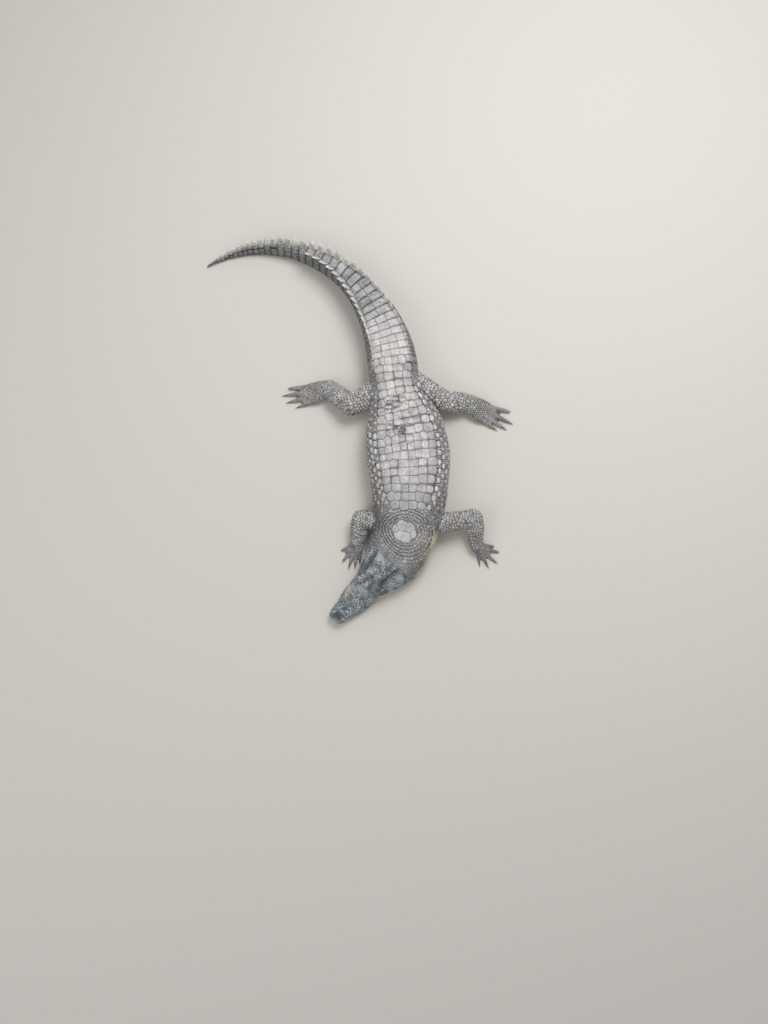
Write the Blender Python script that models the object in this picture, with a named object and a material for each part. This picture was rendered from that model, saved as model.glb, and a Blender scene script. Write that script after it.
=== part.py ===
"""A life-size crocodile, 1.975 m long, resting on its belly with its tail swept round.

Metres, +Z up. The floor is z = 0 and the animal faces -Y, with its left side towards +X.
The origin is on the floor, at the middle of the bounding box.
"""

import math

import bmesh
import bpy
from mathutils import Vector

# --- driving sizes -----------------------------------------------------------------------
TOTAL_LENGTH = 1.975
HEAD_LENGTH = 0.290          # snout tip to the back of the skull table
GAP = 0.0003                 # between one solid and its neighbour
FLAT_ENOUGH = (2.5, 1.5, 0.8, 0.3)   # degrees: facets that turn by less become one, where they can
SUNK = 0.004                 # how far an underside is drawn below the floor before it is cut flat

# Moves the middle of the bounding box onto the origin.
MIDDLE = (-0.00469, 0.00365)

# The line of the back in plan, from the snout tip to the tail tip: a start and a run of arcs.
SNOUT_TIP = (-0.0755, -0.699)
SNOUT_HEADING = 47.4         # degrees from +X towards +Y, looking back along the head
BENDS = (                    # (length, turn in degrees)
    (0.30, 0.0),             # head
    (0.14, 33.4),            # neck
    (0.16, 10.5),            # chest
    (0.26, 13.4),            # belly
    (0.14, -10.3),           # hips
    (0.30, 32.2),            # root of the tail
    (0.25, 29.1),            # middle of the tail
    (0.17, 19.5),
    (0.255, 34.0),           # end of the tail
)

# Crest of the tail: two rows of blades that draw together and close up into one.
CREST_START = 1.034
DOUBLE_BLADES = 18
SINGLE_BLADES = 16
BLADE_LENGTHS = (            # behind the snout tip, from one blade to the next
    (1.03, 0.0250),
    (1.15, 0.0280),
    (1.27, 0.0310),
    (1.42, 0.0330),
    (1.52, 0.0322),
    (1.60, 0.0298),
    (1.70, 0.0252),
    (1.80, 0.0204),
    (1.93, 0.0145),
)
LEFT_LEAN = 42.0             # degrees outwards
RIGHT_LEAN = 40.0
SINGLE_LEAN = 34.0           # the single row lies over to the left
BLADE_THICK = 0.0065
BLADE_FOOT = 0.006           # how deep a blade is rooted in the tail
BLADE_OUTLINE = (            # along, up from the back (None is its foot), half thickness
    (-0.48, None, 1.00),
    (0.48, None, 1.00),
    (-0.41, 0.42, 0.62),
    (-0.23, 0.76, 0.45),
    (0.32, 1.00, 0.22),
    (0.48, 0.60, 0.50),
)
DOUBLE_CREST = (             # behind the snout tip, off the middle, height of the blade
    (1.03, 0.0640, 0.005),
    (1.15, 0.0570, 0.010),
    (1.25, 0.0470, 0.016),
    (1.33, 0.0370, 0.022),
    (1.385, 0.0285, 0.027),
    (1.45, 0.0190, 0.030),
    (1.52, 0.0120, 0.032),
    (1.58, 0.0080, 0.032),
)
SINGLE_CREST = ((1.57, 0.032), (1.66, 0.029), (1.75, 0.023), (1.85, 0.015), (1.93, 0.006))

# Where the trunk is parted from the neck and the tail, and the tail into lengths.
NECK_START = 0.298
TRUNK_START = 0.400
TAIL_START = 1.020
TAIL_PARTS = (               # name, and how many blades stand ahead of its end
    ("tail_base", 7),
    ("tail_middle", 16),
    ("tail_end", 25),
    ("tail_tip", None),
)
NECK_STEP, TRUNK_STEP, TAIL_STEP, CUTTER_STEP = 0.034, 0.035, 0.036, 0.026
TRUNK_SIDES, TAIL_SIDES = 22, 12
SPARE = 0.004                # a length is made this much too long, then cut square
LEG_CLEARANCE = 0.0012       # the trunk is this much larger where it parts the legs
LEG_CUTTER_SPARE = 0.05

# Trunk, neck and tail: behind the snout tip, half width, height of the back, height of the
# widest level, squareness of the back (2 is an ellipse, more is squarer), and lean outwards
# in degrees.
BODY = (
    (0.250, 0.088, 0.104, 0.044, 2.3, 0),
    (0.298, 0.105, 0.110, 0.045, 2.3, 0),
    (0.345, 0.113, 0.124, 0.048, 2.3, 0),
    (0.400, 0.114, 0.138, 0.053, 2.3, 0),
    (0.455, 0.121, 0.152, 0.057, 2.3, 0),
    (0.520, 0.132, 0.162, 0.058, 2.3, 0),
    (0.590, 0.140, 0.169, 0.058, 2.3, 0),
    (0.690, 0.151, 0.173, 0.058, 2.3, 0),
    (0.770, 0.144, 0.170, 0.060, 2.3, 0),
    (0.850, 0.118, 0.163, 0.063, 2.4, 0),
    (0.915, 0.090, 0.155, 0.064, 2.5, 0),
    (0.960, 0.086, 0.148, 0.063, 2.6, 0),
    (1.020, 0.090, 0.141, 0.061, 2.8, 0),
    (1.080, 0.087, 0.134, 0.058, 3.0, 0),
    (1.150, 0.079, 0.126, 0.054, 3.2, 0),
    (1.222, 0.069, 0.116, 0.050, 3.2, 0),
    (1.330, 0.052, 0.103, 0.043, 3.0, 2),
    (1.430, 0.038, 0.091, 0.037, 2.5, 5),
    (1.550, 0.027, 0.078, 0.031, 2.2, 8),
    (1.680, 0.0185, 0.062, 0.024, 2.1, 10),
    (1.800, 0.0120, 0.043, 0.017, 2.0, 10),
    (1.900, 0.0070, 0.024, 0.010, 2.0, 8),
    (1.975, 0.0022, 0.009, 0.005, 2.0, 0),
)
BELLY_SQUARENESS = 2.9

# Head: distance behind the snout tip, half width at the lip, height of the upper lip,
# half width of the flat crown, height of the crown, and how far the jaws stand out to the
# left of the crown, because the head is rolled a little to the right.
HEAD = (
    (0.000, 0.014, 0.0200, 0.007, 0.0330, 0.000),
    (0.006, 0.024, 0.0195, 0.013, 0.0390, 0.000),
    (0.018, 0.0320, 0.0190, 0.017, 0.0440, 0.000),
    (0.036, 0.0355, 0.0185, 0.018, 0.0465, 0.001),
    (0.056, 0.0385, 0.0225, 0.018, 0.0460, 0.004),
    (0.086, 0.0480, 0.0170, 0.020, 0.0510, 0.006),
    (0.120, 0.0525, 0.0230, 0.023, 0.0600, 0.007),
    (0.155, 0.0550, 0.0260, 0.028, 0.0745, 0.009),
    (0.190, 0.0630, 0.0250, 0.034, 0.0905, 0.012),
    (0.220, 0.0745, 0.0310, 0.039, 0.0985, 0.014),
    (0.255, 0.0880, 0.0390, 0.043, 0.1020, 0.013),
    (0.298, 0.1020, 0.0420, 0.045, 0.1020, 0.009),
)
NECK_SWAY = ((0.250, 0.013), (0.298, 0.009), (0.345, 0.005), (0.40, 0.0), (TOTAL_LENGTH, 0.0))
JAW_INSET = 0.0022           # the lower jaw closes inside the upper lip
MOUTH_GAP = 0.0008

HEAD_STOPS = 15
STOP_SPREAD = 1.45           # over 1 draws the girths together at the snout tip
SNOUT_START = 0.0015
FLANK_START = 0.002          # the cheeks begin to curve this far above the lip

# Skull table: front, back, half widths there, top and thickness, then its edges.
SKULL_TABLE = (0.214, HEAD_LENGTH, 0.0345, 0.0440, 0.1085, 0.0120)
TABLE_BEVEL = 0.003
TABLE_CROWN = 0.0008
TABLE_FRONT_DROP = 0.004
TABLE_STOPS = (0.0, 0.12, 0.5, 1.0)

EYE_AT = (0.199, 0.0365, 0.0945)        # behind the snout tip, off the middle, up
EYE_RADIUS = 0.0118
BROW_AT = (0.199, 0.0280, 0.0925)
BROW_SIZE = (0.0310, 0.0180, 0.0190)    # half length, half width, half height of each eye mound
NOSTRIL_AT = (0.030, 0.0, 0.0425)
NOSTRIL_SIZE = (0.0190, 0.0165, 0.0105)

# Joints of the limbs: (x, y, z), from the inner end outwards.
FORELEG_LEFT = ((0.240, -0.358, 0.080), (0.426, -0.334, 0.058), (0.438, -0.428, 0.027))
FORELEG_RIGHT = ((0.150, -0.345, 0.080), (0.026, -0.334, 0.058), (0.008, -0.421, 0.027))
HINDLEG_LEFT = ((0.172, 0.176, 0.078), (0.325, 0.090, 0.056), (0.412, 0.088, 0.031))
HINDLEG_RIGHT = ((0.116, 0.140, 0.078), (-0.014, 0.078, 0.056), (-0.097, 0.145, 0.031))

# Girths of the limbs: (share of the way along, half width, half depth).
UPPER_ARM = ((0.0, 0.042, 0.040), (0.45, 0.036, 0.035), (0.8, 0.033, 0.032), (1.0, 0.0335, 0.031))
FOREARM = ((0.0, 0.0335, 0.031), (0.3, 0.0345, 0.030), (0.7, 0.0285, 0.024), (1.0, 0.0235, 0.019))
THIGH = ((0.0, 0.050, 0.048), (0.4, 0.046, 0.044), (0.8, 0.040, 0.038), (1.0, 0.038, 0.035))
SHANK = ((0.0, 0.038, 0.034), (0.4, 0.038, 0.031), (0.8, 0.0345, 0.027), (1.0, 0.033, 0.0255))
PALM = ((0.0, 0.0235, 0.019), (0.5, 0.0255, 0.0145), (1.0, 0.0280, 0.0110))
SOLE = ((0.0, 0.033, 0.0255), (0.4, 0.037, 0.019), (0.8, 0.0395, 0.0145), (1.0, 0.0385, 0.012))
PALM_LENGTH = 0.036
SOLE_LENGTH = 0.082
LIMB_SIDES, DIGIT_SIDES, CLAW_SIDES = 10, 6, 4
DOME_STOPS = (35, 66)        # degrees up the rounded end of a length of limb

# Digits from the innermost out: reach from the wrist or ankle, and whether it has a claw.
FINGERS = ((0.073, True), (0.088, True), (0.096, True), (0.085, False), (0.064, False))
TOES = ((0.138, True), (0.164, True), (0.174, True), (0.154, False))
FINGER_RADII = (0.0079, 0.0063, 0.0047)
TOE_RADII = (0.0096, 0.0080, 0.0054)
DIGIT_STOPS = (0.0, 0.45, 0.93, 1.0)
DIGIT_END = 0.6              # the very tip's share of the last radius
DIGIT_FLATNESS = 0.95
KNUCKLE_SPREAD = 0.72        # share of the sole's width that the knuckles take up
KNUCKLE_SETBACK = 0.010      # the outer knuckles stand this far behind the middle ones
KNUCKLE_LEVEL = 0.86
CLAW_LENGTH = 0.019
CLAW_RADIUS = 0.0030
CLAW_TAPER = 0.86
CLAW_LIFT = 0.0015           # a claw starts this far above the middle of the digit's tip
CLAW_SHARE = 0.642           # how much of the claw counts in the digit's reach
WEB_THICK = 0.0035
WEB_LEVEL = 0.0012
WEB_REACH = 0.80             # share of each toe that the web joins
WEB_NOTCH = 0.008
WEB_ROOT = 0.6               # share of the sole's length where the web starts

# Direction of each digit in plan, in degrees from +X, innermost first.
FINGERS_LEFT = (280.0, 299.0, 319.0, 343.0, 356.0)
FINGERS_RIGHT = (278.0, 264.0, 250.0, 231.0, 203.0)
TOES_LEFT = (316.0, 325.5, 335.5, 349.0)
TOES_RIGHT = (208.0, 196.0, 186.0, 177.0)

# Materials: name, colour, roughness.
HIDE = ("hide", (0.20, 0.21, 0.20), 0.6)
PALE_HIDE = ("pale_hide", (0.52, 0.49, 0.38), 0.6)
EYEBALL = ("eyeball", (0.23, 0.19, 0.07), 0.15)
SHARP_ANGLE = 50.0           # degrees: edges that turn by more stay sharp


# --- helpers -----------------------------------------------------------------------------
def smooth_curve(table, column):
    """A function through one column of a table, with no overshoot between its rows."""
    xs = [row[0] for row in table]
    ys = [row[column] for row in table]
    steps = [b - a for a, b in zip(xs, xs[1:])]
    rises = [(b - a) / h for a, b, h in zip(ys, ys[1:], steps)]
    slopes = [rises[0]]
    for left, right in zip(rises, rises[1:]):
        slopes.append(0.0 if left * right <= 0 else 2 * left * right / (left + right))
    slopes.append(rises[-1])

    def value(x):
        x = min(max(x, xs[0]), xs[-1])
        i = max(k for k in range(len(steps)) if xs[k] <= x)
        h = steps[i]
        t = (x - xs[i]) / h
        return (
            ys[i] * (1 + 2 * t) * (1 - t) ** 2
            + slopes[i] * h * t * (1 - t) ** 2
            + ys[i + 1] * t * t * (3 - 2 * t)
            + slopes[i + 1] * h * t * t * (t - 1)
        )

    return value


def heading(degrees):
    """A level unit vector at an angle from +X towards +Y."""
    return Vector((math.cos(math.radians(degrees)), math.sin(math.radians(degrees)), 0.0))


def on_spine(distance):
    """The point of the back's line in plan at a distance, with the direction back along it."""
    point = Vector((*SNOUT_TIP, 0.0))
    angle = SNOUT_HEADING
    left = distance
    for length, turn in BENDS:
        run = min(left, length)
        share = turn * run / length
        half_turn = math.radians(share) / 2
        chord = run * math.sin(half_turn) / half_turn if half_turn else run
        point += heading(angle + share / 2) * chord
        angle += share
        left -= run
        if left <= 0:
            break
    return point + heading(angle) * max(left, 0.0), heading(angle)


def in_body(distance, off_middle, up):
    """A point of the body's own frame in the model: off_middle is towards the animal's left."""
    point, back = on_spine(distance)
    left = Vector((back.y, -back.x, 0.0))
    return point + left * off_middle + Vector((0.0, 0.0, up))


def signed_power(value, power):
    """A power of the size of a value, with the value's own sign."""
    return math.copysign(abs(value) ** power, value)


def loft(rings):
    """A closed mesh through rings of points, with flat ends."""
    mesh = bmesh.new()
    loops = [[mesh.verts.new(p) for p in ring] for ring in rings]
    count = len(rings[0])
    for low, high in zip(loops, loops[1:]):
        for i in range(count):
            j = (i + 1) % count
            mesh.faces.new((low[i], low[j], high[j], high[i]))
    mesh.faces.new(loops[0])
    mesh.faces.new(loops[-1])
    bmesh.ops.triangulate(mesh, faces=[f for f in mesh.faces if len(f.verts) == 4])
    bmesh.ops.recalc_face_normals(mesh, faces=mesh.faces)
    return mesh


def scratch_object(mesh):
    """An object that is only a step on the way to another."""
    data = bpy.data.meshes.new("step")
    mesh.to_mesh(data)
    mesh.free()
    thing = bpy.data.objects.new("step", data)
    bpy.context.scene.collection.objects.link(thing)
    return thing


def combined(first, others, operation):
    """The mesh that is left when the others are joined to the first one, or cut from it."""
    base = scratch_object(first)
    tools = [scratch_object(other) for other in others]
    for tool in tools:
        step = base.modifiers.new("step", "BOOLEAN")
        step.operation = operation
        step.solver = "EXACT"
        step.object = tool
    graph = bpy.context.evaluated_depsgraph_get()
    result = bmesh.new()
    result.from_mesh(base.evaluated_get(graph).to_mesh())
    for thing in (base, *tools):
        bpy.data.objects.remove(thing)
    bmesh.ops.remove_doubles(result, verts=result.verts, dist=1e-6)
    return result


def cut_off(mesh, point, normal):
    """Takes away what lies beyond a plane, on the side that its normal points to, and caps the cut."""
    everything = [*mesh.verts, *mesh.edges, *mesh.faces]
    cut = bmesh.ops.bisect_plane(
        mesh, geom=everything, dist=1e-7, plane_co=point, plane_no=normal, clear_outer=True
    )
    rim = [e for e in cut["geom_cut"] if isinstance(e, bmesh.types.BMEdge) and e.is_boundary]
    bmesh.ops.contextual_create(mesh, geom=rim)
    bmesh.ops.recalc_face_normals(mesh, faces=mesh.faces)
    return mesh


def stood_on_floor(mesh):
    """The mesh with all that is below the floor cut away flat."""
    return cut_off(mesh, Vector((0, 0, 0)), Vector((0, 0, -1)))


def material(recipe):
    """The material of a recipe, made the first time that it is asked for."""
    name, colour, roughness = recipe
    made = bpy.data.materials.get(name) or bpy.data.materials.new(name)
    made.use_nodes = True
    shader = made.node_tree.nodes["Principled BSDF"]
    shader.inputs["Base Color"].default_value = (*colour, 1.0)
    shader.inputs["Roughness"].default_value = roughness
    shader.inputs["Metallic"].default_value = 0.0
    return made


def simplified(mesh):
    """The mesh in triangles, with its flattest facets joined as far as it stays one closed skin."""
    for angle in FLAT_ENOUGH:
        trial = mesh.copy()
        limit = math.radians(angle)
        bmesh.ops.dissolve_limit(trial, angle_limit=limit, verts=trial.verts, edges=trial.edges)
        bmesh.ops.triangulate(trial, faces=trial.faces)
        bmesh.ops.dissolve_degenerate(trial, dist=1e-5, edges=trial.edges)
        if all(edge.is_manifold for edge in trial.edges):
            mesh.free()
            return trial
        trial.free()
    bmesh.ops.triangulate(mesh, faces=mesh.faces)
    return mesh


def place(name, mesh, recipe, parent):
    """Makes the named object of one sub-part."""
    mesh = simplified(mesh)
    data = bpy.data.meshes.new(name)
    mesh.to_mesh(data)
    mesh.free()
    data.shade_smooth()
    data.set_sharp_from_angle(angle=math.radians(SHARP_ANGLE))
    thing = bpy.data.objects.new(name, data)
    data.materials.append(material(recipe))
    bpy.context.scene.collection.objects.link(thing)
    thing.parent = parent
    return thing


# --- neck, trunk and tail ----------------------------------------------------------------
body_half_width = smooth_curve(BODY, 1)
body_back = smooth_curve(BODY, 2)
body_widest = smooth_curve(BODY, 3)
back_squareness = smooth_curve(BODY, 4)
body_lean = smooth_curve(BODY, 5)
neck_sway = smooth_curve(NECK_SWAY, 1)
crest_apart = smooth_curve(DOUBLE_CREST, 1)
crest_height = smooth_curve(DOUBLE_CREST, 2)
single_height = smooth_curve(SINGLE_CREST, 1)
blade_length = smooth_curve(BLADE_LENGTHS, 1)


def body_ring(distance, swell=0.0, sides=TRUNK_SIDES):
    """One girth of the body. swell makes it larger all round."""
    wide = body_half_width(distance) + swell
    widest = body_widest(distance)
    lean = math.tan(math.radians(body_lean(distance)))
    above = body_back(distance) - widest + swell
    below = widest + SUNK * min(1.0, wide / 0.02) + swell
    ring = []
    for i in range(sides):
        turn = 2 * math.pi * (i + 0.5) / sides
        upper = math.sin(turn) > 0
        power = 2 / (back_squareness(distance) if upper else BELLY_SQUARENESS)
        across = wide * signed_power(math.cos(turn), power)
        up = widest + (above if upper else below) * signed_power(math.sin(turn), power)
        sway = neck_sway(distance) * (1 - max(up, 0.0) / body_back(distance))
        ring.append(in_body(distance, across + sway + max(up, 0.0) * lean, up))
    return ring


def body_length(start, end, step, swell=0.0, sides=TRUNK_SIDES):
    """The body between two distances behind the snout tip."""
    count = max(2, round((end - start) / step))
    return loft([body_ring(start + (end - start) * i / count, swell, sides) for i in range(count + 1)])


def back_height(distance, across):
    """Height of the body's upper surface at a distance off its middle."""
    share = min(abs(across) / body_half_width(distance), 0.95)
    power = back_squareness(distance)
    rise = body_back(distance) - body_widest(distance)
    return body_widest(distance) + rise * (1 - share**power) ** (1 / power)


def blade(distance, length, across, height, lean):
    """One blade of the crest: a thin hooked fin that points back along the tail."""
    level = back_height(distance, across)
    sway = level * math.tan(math.radians(body_lean(distance)))
    root = in_body(distance, across + sway, level)
    _, back = on_spine(distance)
    left = Vector((back.y, -back.x, 0.0))
    tilt = math.radians(lean + body_lean(distance))
    up = Vector((0, 0, 1)) * math.cos(tilt) + left * math.sin(tilt)
    thick = left * math.cos(tilt) - Vector((0, 0, 1)) * math.sin(tilt)
    fin = bmesh.new()
    for along, rise, half in BLADE_OUTLINE:
        level = -BLADE_FOOT if rise is None else rise * height
        middle = root + back * along * length + up * level
        for side in (-1, 1):
            fin.verts.new(middle + thick * side * half * BLADE_THICK / 2)
    bmesh.ops.convex_hull(fin, input=fin.verts)
    bmesh.ops.recalc_face_normals(fin, faces=fin.faces)
    return fin


def crest_stops():
    """Where one blade ends and the next begins, from the start of the crest to its end."""
    stops = [CREST_START]
    for _ in range(DOUBLE_BLADES + SINGLE_BLADES):
        stops.append(stops[-1] + blade_length(stops[-1]))
    return stops


def crest_blades():
    """Every blade with the distance that it stands at: the double rows, then the single one."""
    stops = crest_stops()
    for i, (start, end) in enumerate(zip(stops, stops[1:])):
        along, length = (start + end) / 2, end - start
        if i < DOUBLE_BLADES:
            apart, height = crest_apart(along), crest_height(along)
            yield along, blade(along, length, apart, height, LEFT_LEAN)
            yield along, blade(along, length, -apart, height, -RIGHT_LEAN)
        else:
            yield along, blade(along, length, 0.0, single_height(along), SINGLE_LEAN)


def build_trunk_and_tail(parent):
    """Makes the neck, the trunk and the four lengths of tail with their crest."""
    neck = body_length(NECK_START + GAP / 2, TRUNK_START - GAP / 2, NECK_STEP)
    place("neck", stood_on_floor(neck), HIDE, parent)
    trunk = body_length(TRUNK_START + GAP / 2, TAIL_START - GAP / 2, TRUNK_STEP)
    place("trunk", stood_on_floor(trunk), HIDE, parent)
    blades = list(crest_blades())
    stops = crest_stops()
    start = TAIL_START
    for name, passed in TAIL_PARTS:
        end = TOTAL_LENGTH if passed is None else stops[passed]
        spare = 0.0 if passed is None else SPARE
        flesh = body_length(start - SPARE, end + spare, TAIL_STEP, sides=TAIL_SIDES)
        crest = [fin for along, fin in blades if start < along < end]
        piece = combined(flesh, crest, "UNION")
        point, back = on_spine(start + GAP / 2)
        cut_off(piece, point, -back)
        if spare:
            point, back = on_spine(end - GAP / 2)
            cut_off(piece, point, back)
        place(name, stood_on_floor(piece), HIDE, parent)
        start = end


# --- head --------------------------------------------------------------------------------
head_half_width = smooth_curve(HEAD, 1)
lip_height = smooth_curve(HEAD, 2)
crown_half_width = smooth_curve(HEAD, 3)
crown_height = smooth_curve(HEAD, 4)
jaw_sway = smooth_curve(HEAD, 5)


def head_stops(count):
    """Distances along the head, close together at the snout tip."""
    end = NECK_START - GAP / 2
    return [max(end * (i / count) ** STOP_SPREAD, SNOUT_START) for i in range(count + 1)]


def head_ring(distance, arc_points=5, floor_points=2):
    """One girth of the upper head: flat palate, bulging sides and a flat crown."""
    wide = head_half_width(distance)
    lip = lip_height(distance)
    crown_wide = crown_half_width(distance)
    rise = crown_height(distance) - lip
    sway = jaw_sway(distance)
    half = [Vector((wide * 0.94 * i / floor_points, lip)) for i in range(floor_points + 1)]
    for i in range(arc_points + 1):
        turn = math.pi / 2 * i / arc_points
        across = crown_wide + (wide - crown_wide) * math.cos(turn) ** 0.9
        up = lip + FLANK_START + (rise - FLANK_START) * math.sin(turn)
        half.append(Vector((across, up)))
    half.append(Vector((crown_wide * 0.5, lip + rise + 0.001)))
    top = Vector((0.0, lip + rise + 0.0005))
    ring = half + [top] + [Vector((-p.x, p.y)) for p in reversed(half[1:])]
    return [in_body(distance, p.x + sway * (1 - (p.y - lip) / rise), p.y) for p in ring]


def jaw_ring(distance, sides=16):
    """One girth of the lower jaw, which closes under the upper one."""
    wide = head_half_width(distance) - JAW_INSET * max(0.0, 1 - distance / 0.25)
    top = lip_height(distance) - MOUTH_GAP
    ring = []
    for i in range(sides):
        turn = 2 * math.pi * (i + 0.5) / sides
        up = math.sin(turn)
        across = wide * signed_power(math.cos(turn), 2 / 3.2)
        level = top if up > 0 else top - (top + SUNK) * abs(up) ** 1.1
        ring.append(in_body(distance, jaw_sway(distance) + across * (0.97 if up > 0 else 1.0), level))
    return ring


def ellipsoid(distance, off_middle, up, size, segments=10, rings=6):
    """An egg on the head, its length along it."""
    centre = in_body(distance, off_middle, up)
    _, back = on_spine(distance)
    left = Vector((back.y, -back.x, 0.0))
    egg = bmesh.new()
    bmesh.ops.create_uvsphere(egg, u_segments=segments, v_segments=rings, radius=1.0)
    for vert in egg.verts:
        x, y, z = vert.co
        vert.co = centre + back * x * size[0] + left * y * size[1] + Vector((0, 0, z * size[2]))
    bmesh.ops.recalc_face_normals(egg, faces=egg.faces)
    return egg


def skull_table():
    """The raised flat plate over the back of the skull."""
    front, end, narrow, broad, top, thick = SKULL_TABLE
    rings = []
    edge = TABLE_BEVEL
    for share in TABLE_STOPS:
        along = front + (end - front) * share
        wide = narrow + (broad - narrow) * share
        drop = TABLE_FRONT_DROP if share == 0.0 else 0.0
        profile = (
            (-wide, -thick),
            (wide, -thick),
            (wide, -edge - drop),
            (wide - edge, -drop),
            (0.0, TABLE_CROWN - drop),
            (-wide + edge, -drop),
            (-wide, -edge - drop),
        )
        rings.append([in_body(along, x, top + z) for x, z in profile])
    return loft(rings)


def build_head(parent):
    """Makes the head with its eye sockets, the eyeballs and the lower jaw."""
    stops = head_stops(HEAD_STOPS)
    face = loft([head_ring(a) for a in stops])
    mounds = [skull_table(), ellipsoid(*NOSTRIL_AT, NOSTRIL_SIZE)]
    along, off_middle, up = BROW_AT
    for side in (-1, 1):
        mounds.append(ellipsoid(along, side * off_middle, up, BROW_SIZE))
    head = combined(face, mounds, "UNION")
    along, off_middle, up = EYE_AT
    sockets = []
    for side in (-1, 1):
        sockets.append(ellipsoid(along, side * off_middle, up, (EYE_RADIUS + GAP,) * 3, 12, 8))
    head = combined(head, sockets, "DIFFERENCE")
    place("head", head, HIDE, parent)
    for side, name in ((1, "eye_left"), (-1, "eye_right")):
        ball = ellipsoid(along, side * off_middle, up, (EYE_RADIUS,) * 3, 12, 8)
        place(name, ball, EYEBALL, parent)
    jaw = loft([jaw_ring(a) for a in stops])
    place("lower_jaw", stood_on_floor(jaw), PALE_HIDE, parent)


# --- limbs -------------------------------------------------------------------------------
def tube_ring(centre, along, half_width, half_depth, sides):
    """A girth round a limb, square to its direction."""
    across = along.cross(Vector((0, 0, 1))).normalized()
    depth = across.cross(along).normalized()
    ring = []
    for i in range(sides):
        turn = 2 * math.pi * (i + 0.5) / sides
        ring.append(centre + across * half_width * math.cos(turn) + depth * half_depth * math.sin(turn))
    return ring


def tube(start, end, girths, sides=LIMB_SIDES, round_start=False, round_end=True):
    """A length of limb between two points, with rounded ends where it is asked."""
    run = end - start
    along = run.normalized()
    stops = [(share * run.length, wide, deep) for share, wide, deep in girths]
    before, after = [], []
    for angle in DOME_STOPS:
        out, shrink = math.sin(math.radians(angle)), math.cos(math.radians(angle))
        at, wide, deep = stops[0]
        before.insert(0, (at - wide * out, wide * shrink, deep * shrink))
        at, wide, deep = stops[-1]
        after.append((at + wide * out, wide * shrink, deep * shrink))
    if round_start:
        stops = before + stops
    if round_end:
        stops = stops + after
    return loft([tube_ring(start + along * at, along, wide, deep, sides) for at, wide, deep in stops])


def claw(root, direction):
    """A claw that curves down to the floor from the top of a digit's end."""
    rings = []
    for share in (0.0, 0.5, 1.0):
        droop = 0.9 * share * share * (root.z - 0.001)
        centre = root + direction * CLAW_LENGTH * share - Vector((0, 0, droop))
        radius = CLAW_RADIUS * (1 - CLAW_TAPER * share**1.3)
        along = (direction - Vector((0, 0, share * root.z / CLAW_LENGTH * 1.6))).normalized()
        rings.append(tube_ring(centre, along, radius, radius * 1.2, CLAW_SIDES))
    return loft(rings)


def digit(wrist, knuckle, reach, direction, radii, clawed):
    """A finger or toe from its knuckle to its tip, with its claw where it has one."""
    thick, middle, fine = radii
    tip = wrist + direction * (reach - (CLAW_LENGTH * CLAW_SHARE if clawed else 0.0))
    tip.z = fine * 0.9
    widths = (thick, middle, fine, fine * DIGIT_END)
    depths = (thick * DIGIT_FLATNESS, middle * DIGIT_FLATNESS, fine, fine * DIGIT_END)
    girths = list(zip(DIGIT_STOPS, widths, depths))
    pieces = [tube(knuckle, tip, girths, sides=DIGIT_SIDES, round_end=False)]
    if clawed:
        along = tip - knuckle
        level = Vector((along.x, along.y, 0)).normalized()
        pieces.append(claw(tip + Vector((0, 0, CLAW_LIFT)), level))
    return pieces


def web(wrist, directions, reaches, inner):
    """The thin skin between the toes, from the sole out to part of their length."""
    corners = [wrist + heading(d) * r * WEB_REACH for d, r in zip(directions, reaches)]
    rim = [corners[0]]
    for a, b in zip(corners, corners[1:]):
        between = (a + b) / 2
        rim += [between - (between - wrist).normalized() * WEB_NOTCH, b]
    rim = [wrist + heading(directions[0]) * inner, *rim, wrist + heading(directions[-1]) * inner]
    sheet = bmesh.new()
    lower = [sheet.verts.new((p.x, p.y, WEB_LEVEL)) for p in rim]
    upper = [sheet.verts.new((p.x, p.y, WEB_LEVEL + WEB_THICK)) for p in rim]
    sheet.faces.new(lower)
    sheet.faces.new(upper)
    for i in range(len(rim)):
        j = (i + 1) % len(rim)
        sheet.faces.new((lower[i], lower[j], upper[j], upper[i]))
    bmesh.ops.recalc_face_normals(sheet, faces=sheet.faces)
    bmesh.ops.triangulate(sheet, faces=sheet.faces)
    return sheet


def foot(wrist, length, pad, digits, directions, radii, webbed):
    """The palm or sole with its digits, as pieces to be joined."""
    middle = heading(sum(directions) / len(directions))
    toe_root = wrist + middle * length
    toe_root.z = pad[-1][2] * 0.85
    pieces = [tube(wrist, toe_root, pad)]
    across = Vector((-middle.y, middle.x, 0))
    turn = 1 if directions[-1] > directions[0] else -1
    for i, ((reach, clawed), direction) in enumerate(zip(digits, directions)):
        spread = (i / (len(digits) - 1) - 0.5) * 2 * turn
        knuckle = toe_root + across * spread * pad[-1][1] * KNUCKLE_SPREAD
        knuckle -= middle * KNUCKLE_SETBACK * abs(spread)
        knuckle.z = radii[0] * KNUCKLE_LEVEL
        pieces += digit(Vector((wrist.x, wrist.y, 0)), knuckle, reach, heading(direction), radii, clawed)
    if webbed:
        reaches = [reach for reach, _ in digits]
        pieces.append(web(Vector((wrist.x, wrist.y, 0)), directions, reaches, length * WEB_ROOT))
    return pieces


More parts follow.
